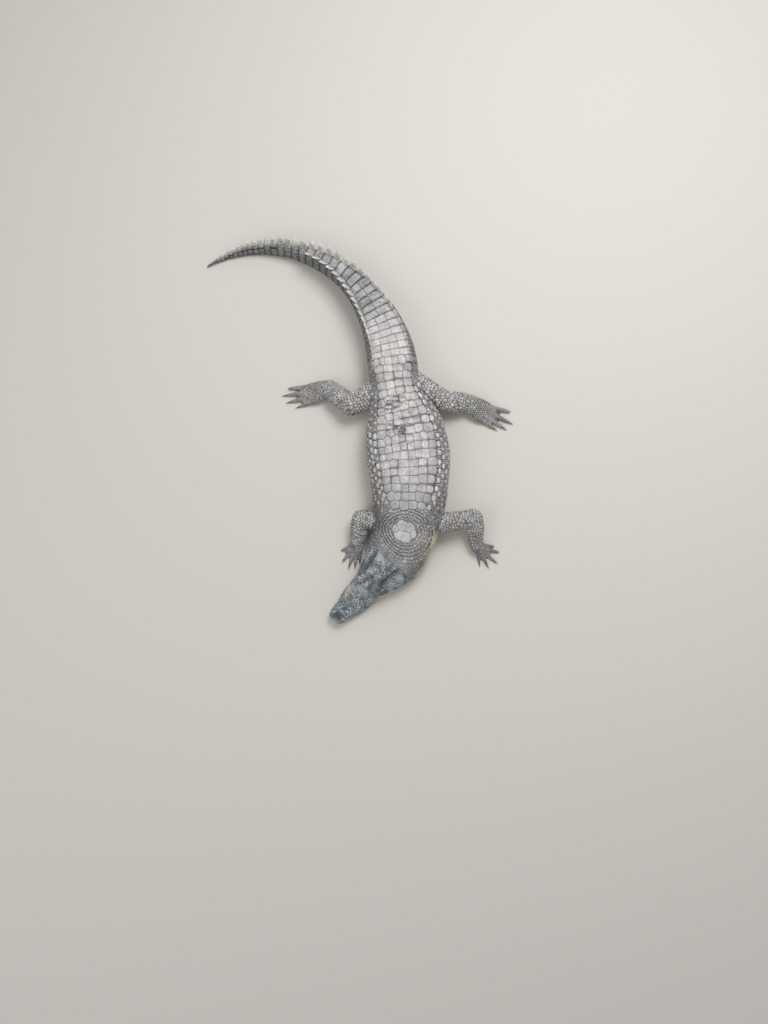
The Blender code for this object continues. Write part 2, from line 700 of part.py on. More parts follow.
def build_limb(names, joints, girths, pad_length, digits, directions, radii, parent):
    """A whole leg, cut from the trunk and parted at its two joints.

    girths are those of its upper length, its lower length, and its palm or sole. Only a foot
    of four digits has a web.
    """
    root, bend, end = (Vector(j) for j in joints)
    upper, lower, pad = girths
    first = tube(root, bend, upper, round_start=True)
    others = [tube(bend, end, lower)]
    others += foot(end, pad_length, pad, digits, directions, radii, webbed=len(digits) == 4)
    whole = combined(first, others, "UNION")
    beyond = TAIL_START + LEG_CUTTER_SPARE
    bodies = [body_length(NECK_START, beyond, CUTTER_STEP, swell=LEG_CLEARANCE)]
    whole = stood_on_floor(combined(whole, bodies, "DIFFERENCE"))
    middle = heading(sum(directions) / len(directions))
    at_bend = ((bend - root).normalized() + (end - bend).normalized()).normalized()
    at_end = ((end - bend).normalized() + middle).normalized()
    for name, near, far in (
        (names[0], None, (bend, at_bend)),
        (names[1], (bend, at_bend), (end, at_end)),
        (names[2], (end, at_end), None),
    ):
        piece = whole.copy()
        if near:
            point, normal = near
            cut_off(piece, point + normal * GAP / 2, -normal)
        if far:
            point, normal = far
            cut_off(piece, point - normal * GAP / 2, normal)
        place(name, piece, HIDE, parent)
    whole.free()


def build_limbs(parent):
    """Makes the two forelegs and the two hind legs."""
    arm = (UPPER_ARM, FOREARM, PALM)
    leg = (THIGH, SHANK, SOLE)
    for side, joints, fingers in (
        ("left", FORELEG_LEFT, FINGERS_LEFT),
        ("right", FORELEG_RIGHT, FINGERS_RIGHT),
    ):
        names = [f"{part}_{side}" for part in ("upper_arm", "forearm", "hand")]
        build_limb(names, joints, arm, PALM_LENGTH, FINGERS, fingers, FINGER_RADII, parent)
    for side, joints, toes in (
        ("left", HINDLEG_LEFT, TOES_LEFT),
        ("right", HINDLEG_RIGHT, TOES_RIGHT),
    ):
        names = [f"{part}_{side}" for part in ("thigh", "shank", "foot")]
        build_limb(names, joints, leg, SOLE_LENGTH, TOES, toes, TOE_RADII, parent)


def main():
    """Makes the whole animal under one empty."""
    for thing in list(bpy.data.objects):
        bpy.data.objects.remove(thing)
    crocodile = bpy.data.objects.new("crocodile", None)
    crocodile.location = (*MIDDLE, 0.0)
    bpy.context.scene.collection.objects.link(crocodile)
    build_trunk_and_tail(crocodile)
    build_head(crocodile)
    build_limbs(crocodile)


main()
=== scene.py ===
"""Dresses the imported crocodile: one skin, bony plates, scales, tail crest, claws, teeth, eyes.

Metres, +Z up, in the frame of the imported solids. The animal faces -Y with its left side
towards +X. Distances along the animal run back from the snout tip.
"""

import itertools
import logging
import math
from dataclasses import dataclass, field
from enum import Enum
from typing import Iterator, Sequence

import bmesh
import bpy
import numpy as np
from mathutils import Matrix, Vector
from mathutils.bvhtree import BVHTree
from mathutils.kdtree import KDTree


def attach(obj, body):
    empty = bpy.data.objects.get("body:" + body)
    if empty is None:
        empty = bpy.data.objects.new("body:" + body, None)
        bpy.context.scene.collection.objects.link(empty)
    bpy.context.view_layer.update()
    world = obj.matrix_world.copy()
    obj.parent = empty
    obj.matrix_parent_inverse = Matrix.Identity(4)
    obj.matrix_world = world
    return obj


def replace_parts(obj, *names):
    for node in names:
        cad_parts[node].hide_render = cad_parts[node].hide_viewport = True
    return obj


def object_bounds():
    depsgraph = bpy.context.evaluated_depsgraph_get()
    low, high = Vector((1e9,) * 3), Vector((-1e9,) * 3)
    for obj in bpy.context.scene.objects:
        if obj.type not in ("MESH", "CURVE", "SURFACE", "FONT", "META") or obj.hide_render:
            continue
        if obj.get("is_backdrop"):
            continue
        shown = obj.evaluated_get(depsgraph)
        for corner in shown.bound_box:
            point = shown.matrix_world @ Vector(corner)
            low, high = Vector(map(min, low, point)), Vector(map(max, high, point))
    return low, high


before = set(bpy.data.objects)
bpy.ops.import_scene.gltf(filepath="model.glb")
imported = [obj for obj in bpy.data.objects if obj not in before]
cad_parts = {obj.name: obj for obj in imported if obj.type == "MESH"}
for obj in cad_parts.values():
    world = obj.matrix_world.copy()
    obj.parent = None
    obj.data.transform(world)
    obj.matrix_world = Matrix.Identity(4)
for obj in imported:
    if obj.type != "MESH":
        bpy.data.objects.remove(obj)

log = logging.getLogger("crocodile")
Array = np.ndarray
UP = np.array([0.0, 0.0, 1.0])
MAP_NAME = "OFBake"


# --- numbers -----------------------------------------------------------------------------
class Rows:
    """A smooth function through rows of numbers, with no overshoot between them."""

    def __init__(self, rows: Sequence[Sequence[float]], column: int = 1) -> None:
        """Prepares the slope at each row.

        Args:
            rows: rows whose first number is the place, in rising order.
            column: which number of a row is the value there.
        """
        self.xs = np.array([row[0] for row in rows], float)
        self.ys = np.array([row[column] for row in rows], float)
        rises = np.diff(self.ys) / np.diff(self.xs)
        product = rises[:-1] * rises[1:]
        total = rises[:-1] + rises[1:]
        inner = np.where(product > 0, 2 * product / np.where(total == 0, 1.0, total), 0.0)
        self.slopes = np.concatenate(([rises[0]], inner, [rises[-1]]))

    def __call__(self, place: Array | float) -> Array:
        """The values at some places; before the first row and after the last it stays level.

        Args:
            place: how far along.

        Returns:
            A value for each place.
        """
        x = np.clip(place, self.xs[0], self.xs[-1])
        i = np.clip(np.searchsorted(self.xs, x, side="right") - 1, 0, len(self.xs) - 2)
        h = self.xs[i + 1] - self.xs[i]
        t = (x - self.xs[i]) / h
        return (
            self.ys[i] * (1 + 2 * t) * (1 - t) ** 2
            + self.slopes[i] * h * t * (1 - t) ** 2
            + self.ys[i + 1] * t * t * (3 - 2 * t)
            + self.slopes[i + 1] * h * t * t * (t - 1)
        )


def ramp(value: Array, low: float, high: float) -> Array:
    """Rises smoothly from 0 at low to 1 at high; low may be the larger of the two."""
    t = np.clip((value - low) / (high - low), 0.0, 1.0)
    return t * t * (3 - 2 * t)


def bump(value: Array, width: float) -> Array:
    """1 at zero, falling off like a bell over the width."""
    return np.exp(-((value / width) ** 2))


def unit(vectors: Array) -> Array:
    """The vectors at length 1."""
    length = np.linalg.norm(vectors, axis=-1, keepdims=True)
    return vectors / np.maximum(length, 1e-12)


def round_turns(count: int, shift: float = 0.0) -> Array:
    """Even angles once round in radians, all moved on by a share of their step."""
    return 2 * math.pi * (np.arange(count) + shift) / count


def girth_of(a: float, b: float) -> float:
    """The way round an oval of two half widths."""
    return 2 * math.pi * math.sqrt((a**2 + b**2) / 2)


def signed_power(value: Array, power: Array | float) -> Array:
    """Raises the size of a number to a power and keeps its sign."""
    return np.sign(value) * np.abs(value) ** power


def heading(degrees: Array | float) -> Array:
    """Level unit vectors at angles from +X towards +Y."""
    angle = np.radians(degrees)
    return np.stack([np.cos(angle), np.sin(angle), np.zeros_like(angle)], axis=-1)


def grain(points: Array, size: float, seed: int = 0) -> Array:
    """Smooth lumps in space, from -1 to 1.

    Args:
        points: where it is wanted, one row each.
        size: distance from one lump to the next.
        seed: another number gives other lumps.

    Returns:
        One number for each point.
    """
    place = points / size + 31.7 * seed
    cell = np.floor(place).astype(np.int64)
    part = place - cell
    part = part * part * (3 - 2 * part)
    total = np.zeros(len(points))
    for corner in np.ndindex(2, 2, 2):
        c = cell + np.array(corner)
        code = (c[:, 0] * 73856093) ^ (c[:, 1] * 19349663) ^ (c[:, 2] * 83492791)
        code = ((code ^ (code >> 13)) * 1274126177) & 0xFFFFFF
        share = np.prod(np.where(np.array(corner) == 1, part, 1 - part), axis=1)
        total += share * (code / 0x7FFFFF - 1.0)
    return total


# --- the animal's own lines and forms ------------------------------------------------------
MIDDLE = (-0.00469, 0.00365)


@dataclass
class Spine:
    """The line of the back in plan, from the snout tip to the tail tip, as a run of arcs."""

    tip: tuple[float, float] = (-0.0755, -0.699)
    first_heading: float = 47.4
    bends: tuple[tuple[float, float], ...] = (
        (0.30, 0.0), (0.14, 33.4), (0.16, 10.5), (0.26, 13.4), (0.14, -10.3), (0.30, 32.2), (0.25, 29.1),
        (0.17, 19.5), (0.255, 34.0),
    )
    shift: tuple[float, float] = MIDDLE
    fine: float = 0.001
    coarse: int = 5

    def __post_init__(self) -> None:
        """Walks along the arcs and keeps a point for each fine step."""
        ends = np.cumsum([0.0] + [run for run, _ in self.bends])
        turns = self.first_heading + np.cumsum([0.0] + [turn for _, turn in self.bends])
        self.length = float(ends[-1])
        self.stations = np.linspace(0.0, self.length, round(self.length / self.fine) + 1)
        self.angles = np.interp(self.stations, ends, turns)
        middles = np.interp((self.stations[1:] + self.stations[:-1]) / 2, ends, turns)
        steps = heading(middles) * np.diff(self.stations)[:, None]
        start = np.array([self.tip[0] + self.shift[0], self.tip[1] + self.shift[1], 0.0])
        self.points = np.vstack([start, start + np.cumsum(steps, axis=0)])

    def back(self, s: Array) -> Array:
        """The level direction towards the tail at distances along the animal."""
        return heading(np.interp(s, self.stations, self.angles))

    def sides(self, s: Array) -> tuple[Array, Array]:
        """The level directions towards the tail and towards the animal's left."""
        back = self.back(s)
        return back, np.stack([back[..., 1], -back[..., 0], np.zeros(back.shape[:-1])], axis=-1)

    def place(self, s: Array, off: Array, up: Array) -> Array:
        """Points at distances along the animal, off its middle to its left, and above the floor.

        Args:
            s: how far along the animal.
            off: how far off its middle, + to its left.
            up: how far above the floor.

        Returns:
            The points.
        """
        s, off, up = np.broadcast_arrays(*(np.asarray(v, float) for v in (s, off, up)))
        left = self.sides(s)[1]
        point = np.stack([np.interp(s, self.stations, self.points[:, k]) for k in range(3)], -1)
        return point + left * off[..., None] + up[..., None] * UP

    def locate(self, points: Array) -> tuple[Array, Array]:
        """Distances along the animal and off its middle, for points in the model.

        Args:
            points: the points.

        Returns:
            How far along each point is, and how far off the middle.
        """
        rough = self.points[:: self.coarse, :2]
        nearest = np.concatenate(
            [
                np.argmin(((part[:, None, :2] - rough[None]) ** 2).sum(-1), axis=1)
                for part in np.array_split(points, max(1, len(points) // 20000))
            ]
        )
        s = self.stations[:: self.coarse][nearest]
        for _ in range(3):
            s = np.clip(s + ((points - self.place(s, 0.0, 0.0)) * self.back(s)).sum(-1), 0.0, self.length)
        return s, ((points - self.place(s, 0.0, 0.0)) * self.sides(s)[1]).sum(-1)


@dataclass
class BodyForm:
    """Girths of the neck, trunk and tail.

    Each row is the distance along, half width, height of the back, height of the widest
    level, squareness of the back, and lean outwards in degrees.
    """

    spine: Spine
    rows: tuple[tuple[float, ...], ...] = (
        (0.250, 0.088, 0.104, 0.044, 2.3, 0), (0.298, 0.105, 0.110, 0.045, 2.3, 0),
        (0.345, 0.113, 0.124, 0.048, 2.3, 0), (0.400, 0.114, 0.138, 0.053, 2.3, 0),
        (0.455, 0.121, 0.152, 0.057, 2.3, 0), (0.520, 0.132, 0.162, 0.058, 2.3, 0),
        (0.590, 0.140, 0.169, 0.058, 2.3, 0), (0.690, 0.151, 0.173, 0.058, 2.3, 0),
        (0.770, 0.144, 0.170, 0.060, 2.3, 0), (0.850, 0.118, 0.163, 0.063, 2.4, 0),
        (0.915, 0.090, 0.155, 0.064, 2.5, 0), (0.960, 0.086, 0.148, 0.063, 2.6, 0),
        (1.020, 0.090, 0.141, 0.061, 2.8, 0), (1.080, 0.087, 0.134, 0.058, 3.0, 0),
        (1.150, 0.079, 0.126, 0.054, 3.2, 0), (1.222, 0.069, 0.116, 0.050, 3.2, 0),
        (1.330, 0.052, 0.103, 0.043, 3.0, 2), (1.430, 0.038, 0.091, 0.037, 2.5, 5),
        (1.550, 0.027, 0.078, 0.031, 2.2, 8), (1.680, 0.0185, 0.062, 0.024, 2.1, 10),
        (1.800, 0.0120, 0.043, 0.017, 2.0, 10), (1.900, 0.0070, 0.024, 0.010, 2.0, 8),
        (1.975, 0.0022, 0.009, 0.005, 2.0, 0),
    )
    sway: tuple[tuple[float, float], ...] = (
        (0.250, 0.013), (0.298, 0.009), (0.345, 0.005), (0.400, 0.0), (1.975, 0.0),
    )
    belly_squareness: float = 2.9
    sunk: float = 0.004
    start: float = 0.262
    ring_step: float = 0.006
    sides: int = 88
    arc_points: int = 161

    def __post_init__(self) -> None:
        """Makes a smooth function of each column."""
        self.half_width, self.back_height, self.widest, self.squareness, self.lean = (
            Rows(self.rows, column) for column in range(1, 6)
        )
        self.neck_sway = Rows(self.sway)

    def girth(self, s: Array, turns: Array) -> Array:
        """Points round the body.

        Args:
            s: distances along the animal, one for each girth.
            turns: angles round it in radians, from its left side over the back.

        Returns:
            An array of girths, of points in each, of three numbers.
        """
        s = np.asarray(s, float)[:, None]
        turns = np.asarray(turns, float)[None]
        wide, back, widest = self.half_width(s), self.back_height(s), self.widest(s)
        below = widest + self.sunk * np.minimum(1.0, wide / 0.02)
        power = 2 / np.where(np.sin(turns) > 0, self.squareness(s), self.belly_squareness)
        across = wide * signed_power(np.cos(turns), power)
        rise = np.where(np.sin(turns) > 0, back - widest, below)
        up = widest + rise * signed_power(np.sin(turns), power)
        high = np.maximum(up, 0.0)
        across = across + self.neck_sway(s) * (1 - high / back)
        across = across + high * np.tan(np.radians(self.lean(s)))
        return self.spine.place(np.broadcast_to(s, across.shape), across, high)

    def side_line(self, s: float, side: int) -> tuple[Array, Array]:
        """The line from the middle of the back down one side to the middle of the belly.

        Args:
            s: distance along the animal.
            side: 1 for its left, -1 for its right.

        Returns:
            The points of the line, and how far along it each one is.
        """
        turns = np.linspace(math.pi / 2, -math.pi / 2, self.arc_points)
        line = self.girth([s], turns if side > 0 else math.pi - turns)[0]
        gone = np.linalg.norm(np.diff(line, axis=0), axis=1)
        return line, np.concatenate(([0.0], np.cumsum(gone)))

    def on_side(self, s: float, arcs: Array) -> Array:
        """Points at distances from the middle of the back, measured over the skin, + to the left.

        Args:
            s: how far along the animal.
            arcs: the distances over the skin.

        Returns:
            The points.
        """
        arcs = np.asarray(arcs, float)
        found = np.zeros((len(arcs), 3))
        for side in (1, -1):
            line, gone = self.side_line(s, side)
            chosen = (arcs * side > 0) if side < 0 else (arcs >= 0)
            for k in range(3):
                found[chosen, k] = np.interp(np.abs(arcs[chosen]), gone, line[:, k])
        return found

    def crown(self, s: float, off: float) -> float:
        """Height of the upper surface at a distance off the middle.

        Args:
            s: how far along the animal.
            off: how far off its middle, + to its left.

        Returns:
            The height above the floor.
        """
        share = min(abs(off) / float(self.half_width(s)), 0.95)
        power = float(self.squareness(s))
        rise = float(self.back_height(s) - self.widest(s))
        return float(self.widest(s)) + rise * (1 - share**power) ** (1 / power)

    def fullness(self, s: Array, off: Array, up: Array) -> Array:
        """Below 1 inside the body and above 1 outside it.

        Args:
            s: how far along the animal.
            off: how far off its middle, + to its left.
            up: how far above the floor.

        Returns:
            A share for each place, 1 on the surface.
        """
        wide, back, widest = self.half_width(s), self.back_height(s), self.widest(s)
        sway = self.neck_sway(s) * (1 - np.clip(up, 0, None) / back)
        across = np.abs(off - sway - up * np.tan(np.radians(self.lean(s)))) / wide
        rise = np.where(up > widest, (up - widest) / (back - widest), (widest - up) / widest)
        power = np.where(up > widest, self.squareness(s), self.belly_squareness)
        return (across**power + np.clip(rise, 0, None) ** power) ** (1 / power)

    def shell(self) -> list["Shell"]:
        """The closed form of the neck, trunk and tail.

        Returns:
            One shell, in a list.
        """
        count = round((self.spine.length - self.start) / self.ring_step)
        stops = np.linspace(self.start, self.spine.length, count + 1)
        turns = round_turns(self.sides, 0.5)
        return [Shell.through(self.girth(stops, turns))]


@dataclass
class Shell:
    """A closed mesh as bare points and faces."""

    points: Array
    faces: list[tuple[int, ...]]

    @classmethod
    def through(cls, rings: Array) -> "Shell":
        """A shell through rings of points, with a flat end at each end.

        Args:
            rings: rings of points, as rings by points by three.

        Returns:
            The shell.
        """
        count, around = rings.shape[:2]
        faces = [
            (k * around + i, k * around + j, (k + 1) * around + j, (k + 1) * around + i)
            for k in range(count - 1)
            for i, j in zip(range(around), [*range(1, around), 0])
        ]
        last = (count - 1) * around
        faces.append(tuple(range(around))[::-1])
        faces.append(tuple(range(last, last + around)))
        return cls(rings.reshape(-1, 3), faces)

    @staticmethod
    def together(shells: Sequence["Shell"]) -> tuple[Array, list[tuple[int, ...]]]:
        """The points and faces of several shells, numbered on from one to the next.

        Args:
            shells: the shells.

        Returns:
            All of the points, and the faces by the numbers of their points.
        """
        faces, passed = [], 0
        for shell in shells:
            faces += [tuple(i + passed for i in face) for face in shell.faces]
            passed += len(shell.points)
        return np.concatenate([shell.points for shell in shells]), faces

    def outward(self) -> list[tuple[int, ...]]:
        """The faces, turned so that they look outwards.

        Returns:
            Each face by the numbers of its points.
        """
        fans = np.array([(face[0], *pair) for face in self.faces for pair in zip(face[1:], face[2:])])
        a, b, c = (self.points[fans[:, k]] for k in range(3))
        volume = (a * np.cross(b, c)).sum()
        return self.faces if volume > 0 else [face[::-1] for face in self.faces]


@dataclass
class HeadForm:
    """Upper head, lower jaw, skull table, eye mounds and nostril mound.

    Each row is the distance along, half width at the lip, height of the lip, half width of
    the flat crown, height of the crown, and how far the jaws stand out to the left of it.
    """

    spine: Spine
    rows: tuple[tuple[float, ...], ...] = (
        (0.000, 0.014, 0.0200, 0.007, 0.0330, 0.000), (0.006, 0.024, 0.0195, 0.013, 0.0390, 0.000),
        (0.018, 0.0320, 0.0190, 0.017, 0.0440, 0.000), (0.036, 0.0355, 0.0185, 0.018, 0.0465, 0.001),
        (0.056, 0.0385, 0.0225, 0.018, 0.0460, 0.004), (0.086, 0.0480, 0.0170, 0.020, 0.0510, 0.006),
        (0.120, 0.0525, 0.0230, 0.023, 0.0600, 0.007), (0.155, 0.0550, 0.0260, 0.028, 0.0745, 0.009),
        (0.190, 0.0630, 0.0250, 0.034, 0.0905, 0.012), (0.220, 0.0745, 0.0310, 0.039, 0.0985, 0.014),
        (0.255, 0.0880, 0.0390, 0.043, 0.1020, 0.013), (0.298, 0.1020, 0.0420, 0.045, 0.1020, 0.009),
    )
    jaw_inset: float = 0.0022
    table_front: float = 0.214
    table_back: float = 0.290
    table_narrow: float = 0.0345
    table_broad: float = 0.0440
    table_top: float = 0.1085
    table_thick: float = 0.0120
    eye_at: tuple[float, float, float] = (0.199, 0.0365, 0.0945)
    eye_radius: float = 0.0118
    brow_off: float = 0.0280
    brow_up: float = 0.0925
    brow_size: tuple[float, float, float] = (0.0310, 0.0180, 0.0190)
    nostril_at: tuple[float, float, float] = (0.030, 0.0, 0.0425)
    nostril_size: tuple[float, float, float] = (0.0190, 0.0165, 0.0105)
    nostril_ring: tuple[float, float, float] = (0.0285, 0.0092, 0.0050)
    nostril_disc: float = 0.029
    stops: int = 60
    end: float = 0.2985

    def __post_init__(self) -> None:
        """Makes a smooth function of each column."""
        self.half_width, self.lip, self.crown_width, self.crown, self.jaw_sway = (
            Rows(self.rows, column) for column in range(1, 6)
        )

    def stations(self, first: float) -> Array:
        """Distances along the head for the rings of a jaw, closer together at the snout."""
        return np.maximum(self.end * (np.arange(self.stops + 1) / self.stops) ** 1.3, first)

    def upper(self) -> Shell:
        """The upper head: flat palate, bulging sides and a flat crown.

        Returns:
            The shell.
        """
        rings = []
        for s in self.stations(0.0012):
            wide, lip, crown_wide = self.half_width(s), self.lip(s), self.crown_width(s)
            rise = self.crown(s) - lip
            turn = np.linspace(0.0, math.pi / 2, 22)
            half_x = crown_wide + (wide - crown_wide) * np.cos(turn) ** 0.9
            half_y = lip + 0.002 + (rise - 0.002) * np.sin(turn)
            half_x = np.concatenate((wide * np.array([0.3, 0.6, 0.94]), half_x, [crown_wide / 2]))
            half_y = np.concatenate((np.full(3, lip - 0.004), half_y, [lip + rise + 0.001]))
            x = np.concatenate((half_x, [0.0], -half_x[::-1], [0.0]))
            y = np.concatenate((half_y, [lip + rise + 0.0005], half_y[::-1], [lip - 0.004]))
            share = np.clip((y - lip) / rise, 0.0, 1.0)
            rings.append(self.spine.place(s, x + self.jaw_sway(s) * (1 - share), y))
        return Shell.through(np.array(rings))

    def lower(self) -> Shell:
        """The lower jaw, a little inside the upper lip.

        Returns:
            The shell.
        """
        turns = round_turns(48, 0.5)
        rings = []
        for s in self.stations(0.0015):
            wide = self.half_width(s) - self.jaw_inset * max(0.0, 1 - s / 0.25)
            up = np.sin(turns)
            level = np.where(up > 0, self.lip(s), self.lip(s) - (self.lip(s) + 0.004) * np.abs(up) ** 1.1)
            across = wide * signed_power(np.cos(turns), 2 / 3.2)
            rings.append(self.spine.place(s, self.jaw_sway(s) + across, np.maximum(level, 0.0)))
        return Shell.through(np.array(rings))

    def table_edge(self, s: Array) -> Array:
        """How far the edge of the skull table stands off the middle."""
        return np.interp(s, (self.table_front, self.table_back), (self.table_narrow, self.table_broad))

    def egg(self, s: float, off: float, up: float, size: Sequence[float]) -> Shell:
        """An egg on the head, its length along it.

        Args:
            s: how far along the animal.
            off: how far off its middle, + to its left.
            up: how far above the floor.
            size: half of its length, width and height.

        Returns:
            The shell.
        """
        turns = round_turns(28)
        bands = np.radians(np.linspace(-82, 82, 15))
        local = np.stack(
            [
                np.broadcast_to(np.sin(bands)[:, None], (15, 28)),
                np.cos(bands)[:, None] * np.cos(turns)[None],
                np.cos(bands)[:, None] * np.sin(turns)[None],
            ],
            axis=-1,
        ) * np.array(size)
        return Shell.through(self.spine.place(s + local[..., 0], off + local[..., 1], up + local[..., 2]))

    def table(self) -> Shell:
        """The raised flat plate over the back of the skull.

        Returns:
            The shell.
        """
        rings = []
        for share in np.linspace(0.0, 1.0, 16):
            s = self.table_front + (self.table_back - self.table_front) * share
            wide = self.table_narrow + (self.table_broad - self.table_narrow) * share
            drop = 0.004 * max(0.0, 1 - share / 0.12)
            x = np.array([-wide, -wide * 0.5, 0, wide * 0.5, wide, wide, wide - 0.003, wide * 0.5])
            y = np.array([0, 0, 0, 0, 0, 0.009, 0.012, 0.0115]) - drop
            x = np.concatenate((x, [0.0, -wide * 0.5, -wide + 0.003, -wide]))
            y = np.concatenate((y, np.array([0.0128, 0.0115, 0.012, 0.009]) - drop))
            rings.append(self.spine.place(s, x, y + self.table_top - self.table_thick))
        return Shell.through(np.array(rings))

    def shell(self) -> list[Shell]:
        """Every closed form of the head.

        Returns:
            A shell for each form.
        """
        s, _, _ = self.eye_at
        mounds = [self.egg(s, side * self.brow_off, self.brow_up, self.brow_size) for side in (1, -1)]
        nostrils = self.egg(*self.nostril_at, self.nostril_size)
        return [self.upper(), self.lower(), self.table(), nostrils, *mounds]


@dataclass
class Run:
    """A straight length of a limb with rounded ends.

    Each girth is the share of the way along, half width and half depth.
    """

    start: Array
    end: Array
    girths: tuple[tuple[float, float, float], ...]
    blunt: bool = False

    def __post_init__(self) -> None:
        """Works out the length, the directions and the smooth girths."""
        self.length = float(np.linalg.norm(self.end - self.start))
        self.along = (self.end - self.start) / self.length
        self.across = unit(np.cross(self.along, UP))
        self.deep = unit(np.cross(self.across, self.along))
        self.half_width = Rows(self.girths, 1)
        self.half_depth = Rows(self.girths, 2)

    def ring(self, gone: float, turns: Array, shrink: float = 1.0) -> Array:
        """Points round the limb at a distance along it.

        Args:
            gone: how far from its start.
            turns: angles round it.
            shrink: share of the full girth.

        Returns:
            A point for each angle.
        """
        wide = self.half_width(gone / self.length) * shrink
        tall = self.half_depth(gone / self.length) * shrink
        centre = self.start + self.along * gone
        return (
            centre
            + wide * np.cos(turns)[:, None] * self.across
            + tall * np.sin(turns)[:, None] * self.deep
        )

    def shell(self, sides: int = 30) -> Shell:
        """The closed form of this length.

        Args:
            sides: how many points go round it.

        Returns:
            The shell.
        """
        turns = round_turns(sides, 0.5)
        domes = np.radians([12, 26, 40, 54, 68, 80])
        rings = []
        first = float(self.half_width(0.0))
        if not self.blunt:
            for a in domes[::-1]:
                rings.append(self.ring(0.0, turns, math.cos(a)) - self.along * first * math.sin(a))
        count = max(3, round(self.length / 0.005))
        rings += [self.ring(self.length * i / count, turns) for i in range(count + 1)]
        last = float(self.half_width(1.0))
        rings += [self.ring(self.length, turns, math.cos(a)) + self.along * last * math.sin(a) for a in domes]
        shell = Shell.through(np.array(rings))
        shell.points[:, 2] = np.maximum(shell.points[:, 2], 0.0)
        return shell


class Limb(Enum):
    """The four limbs."""

    FORE_LEFT = 0
    FORE_RIGHT = 1
    HIND_LEFT = 2
    HIND_RIGHT = 3


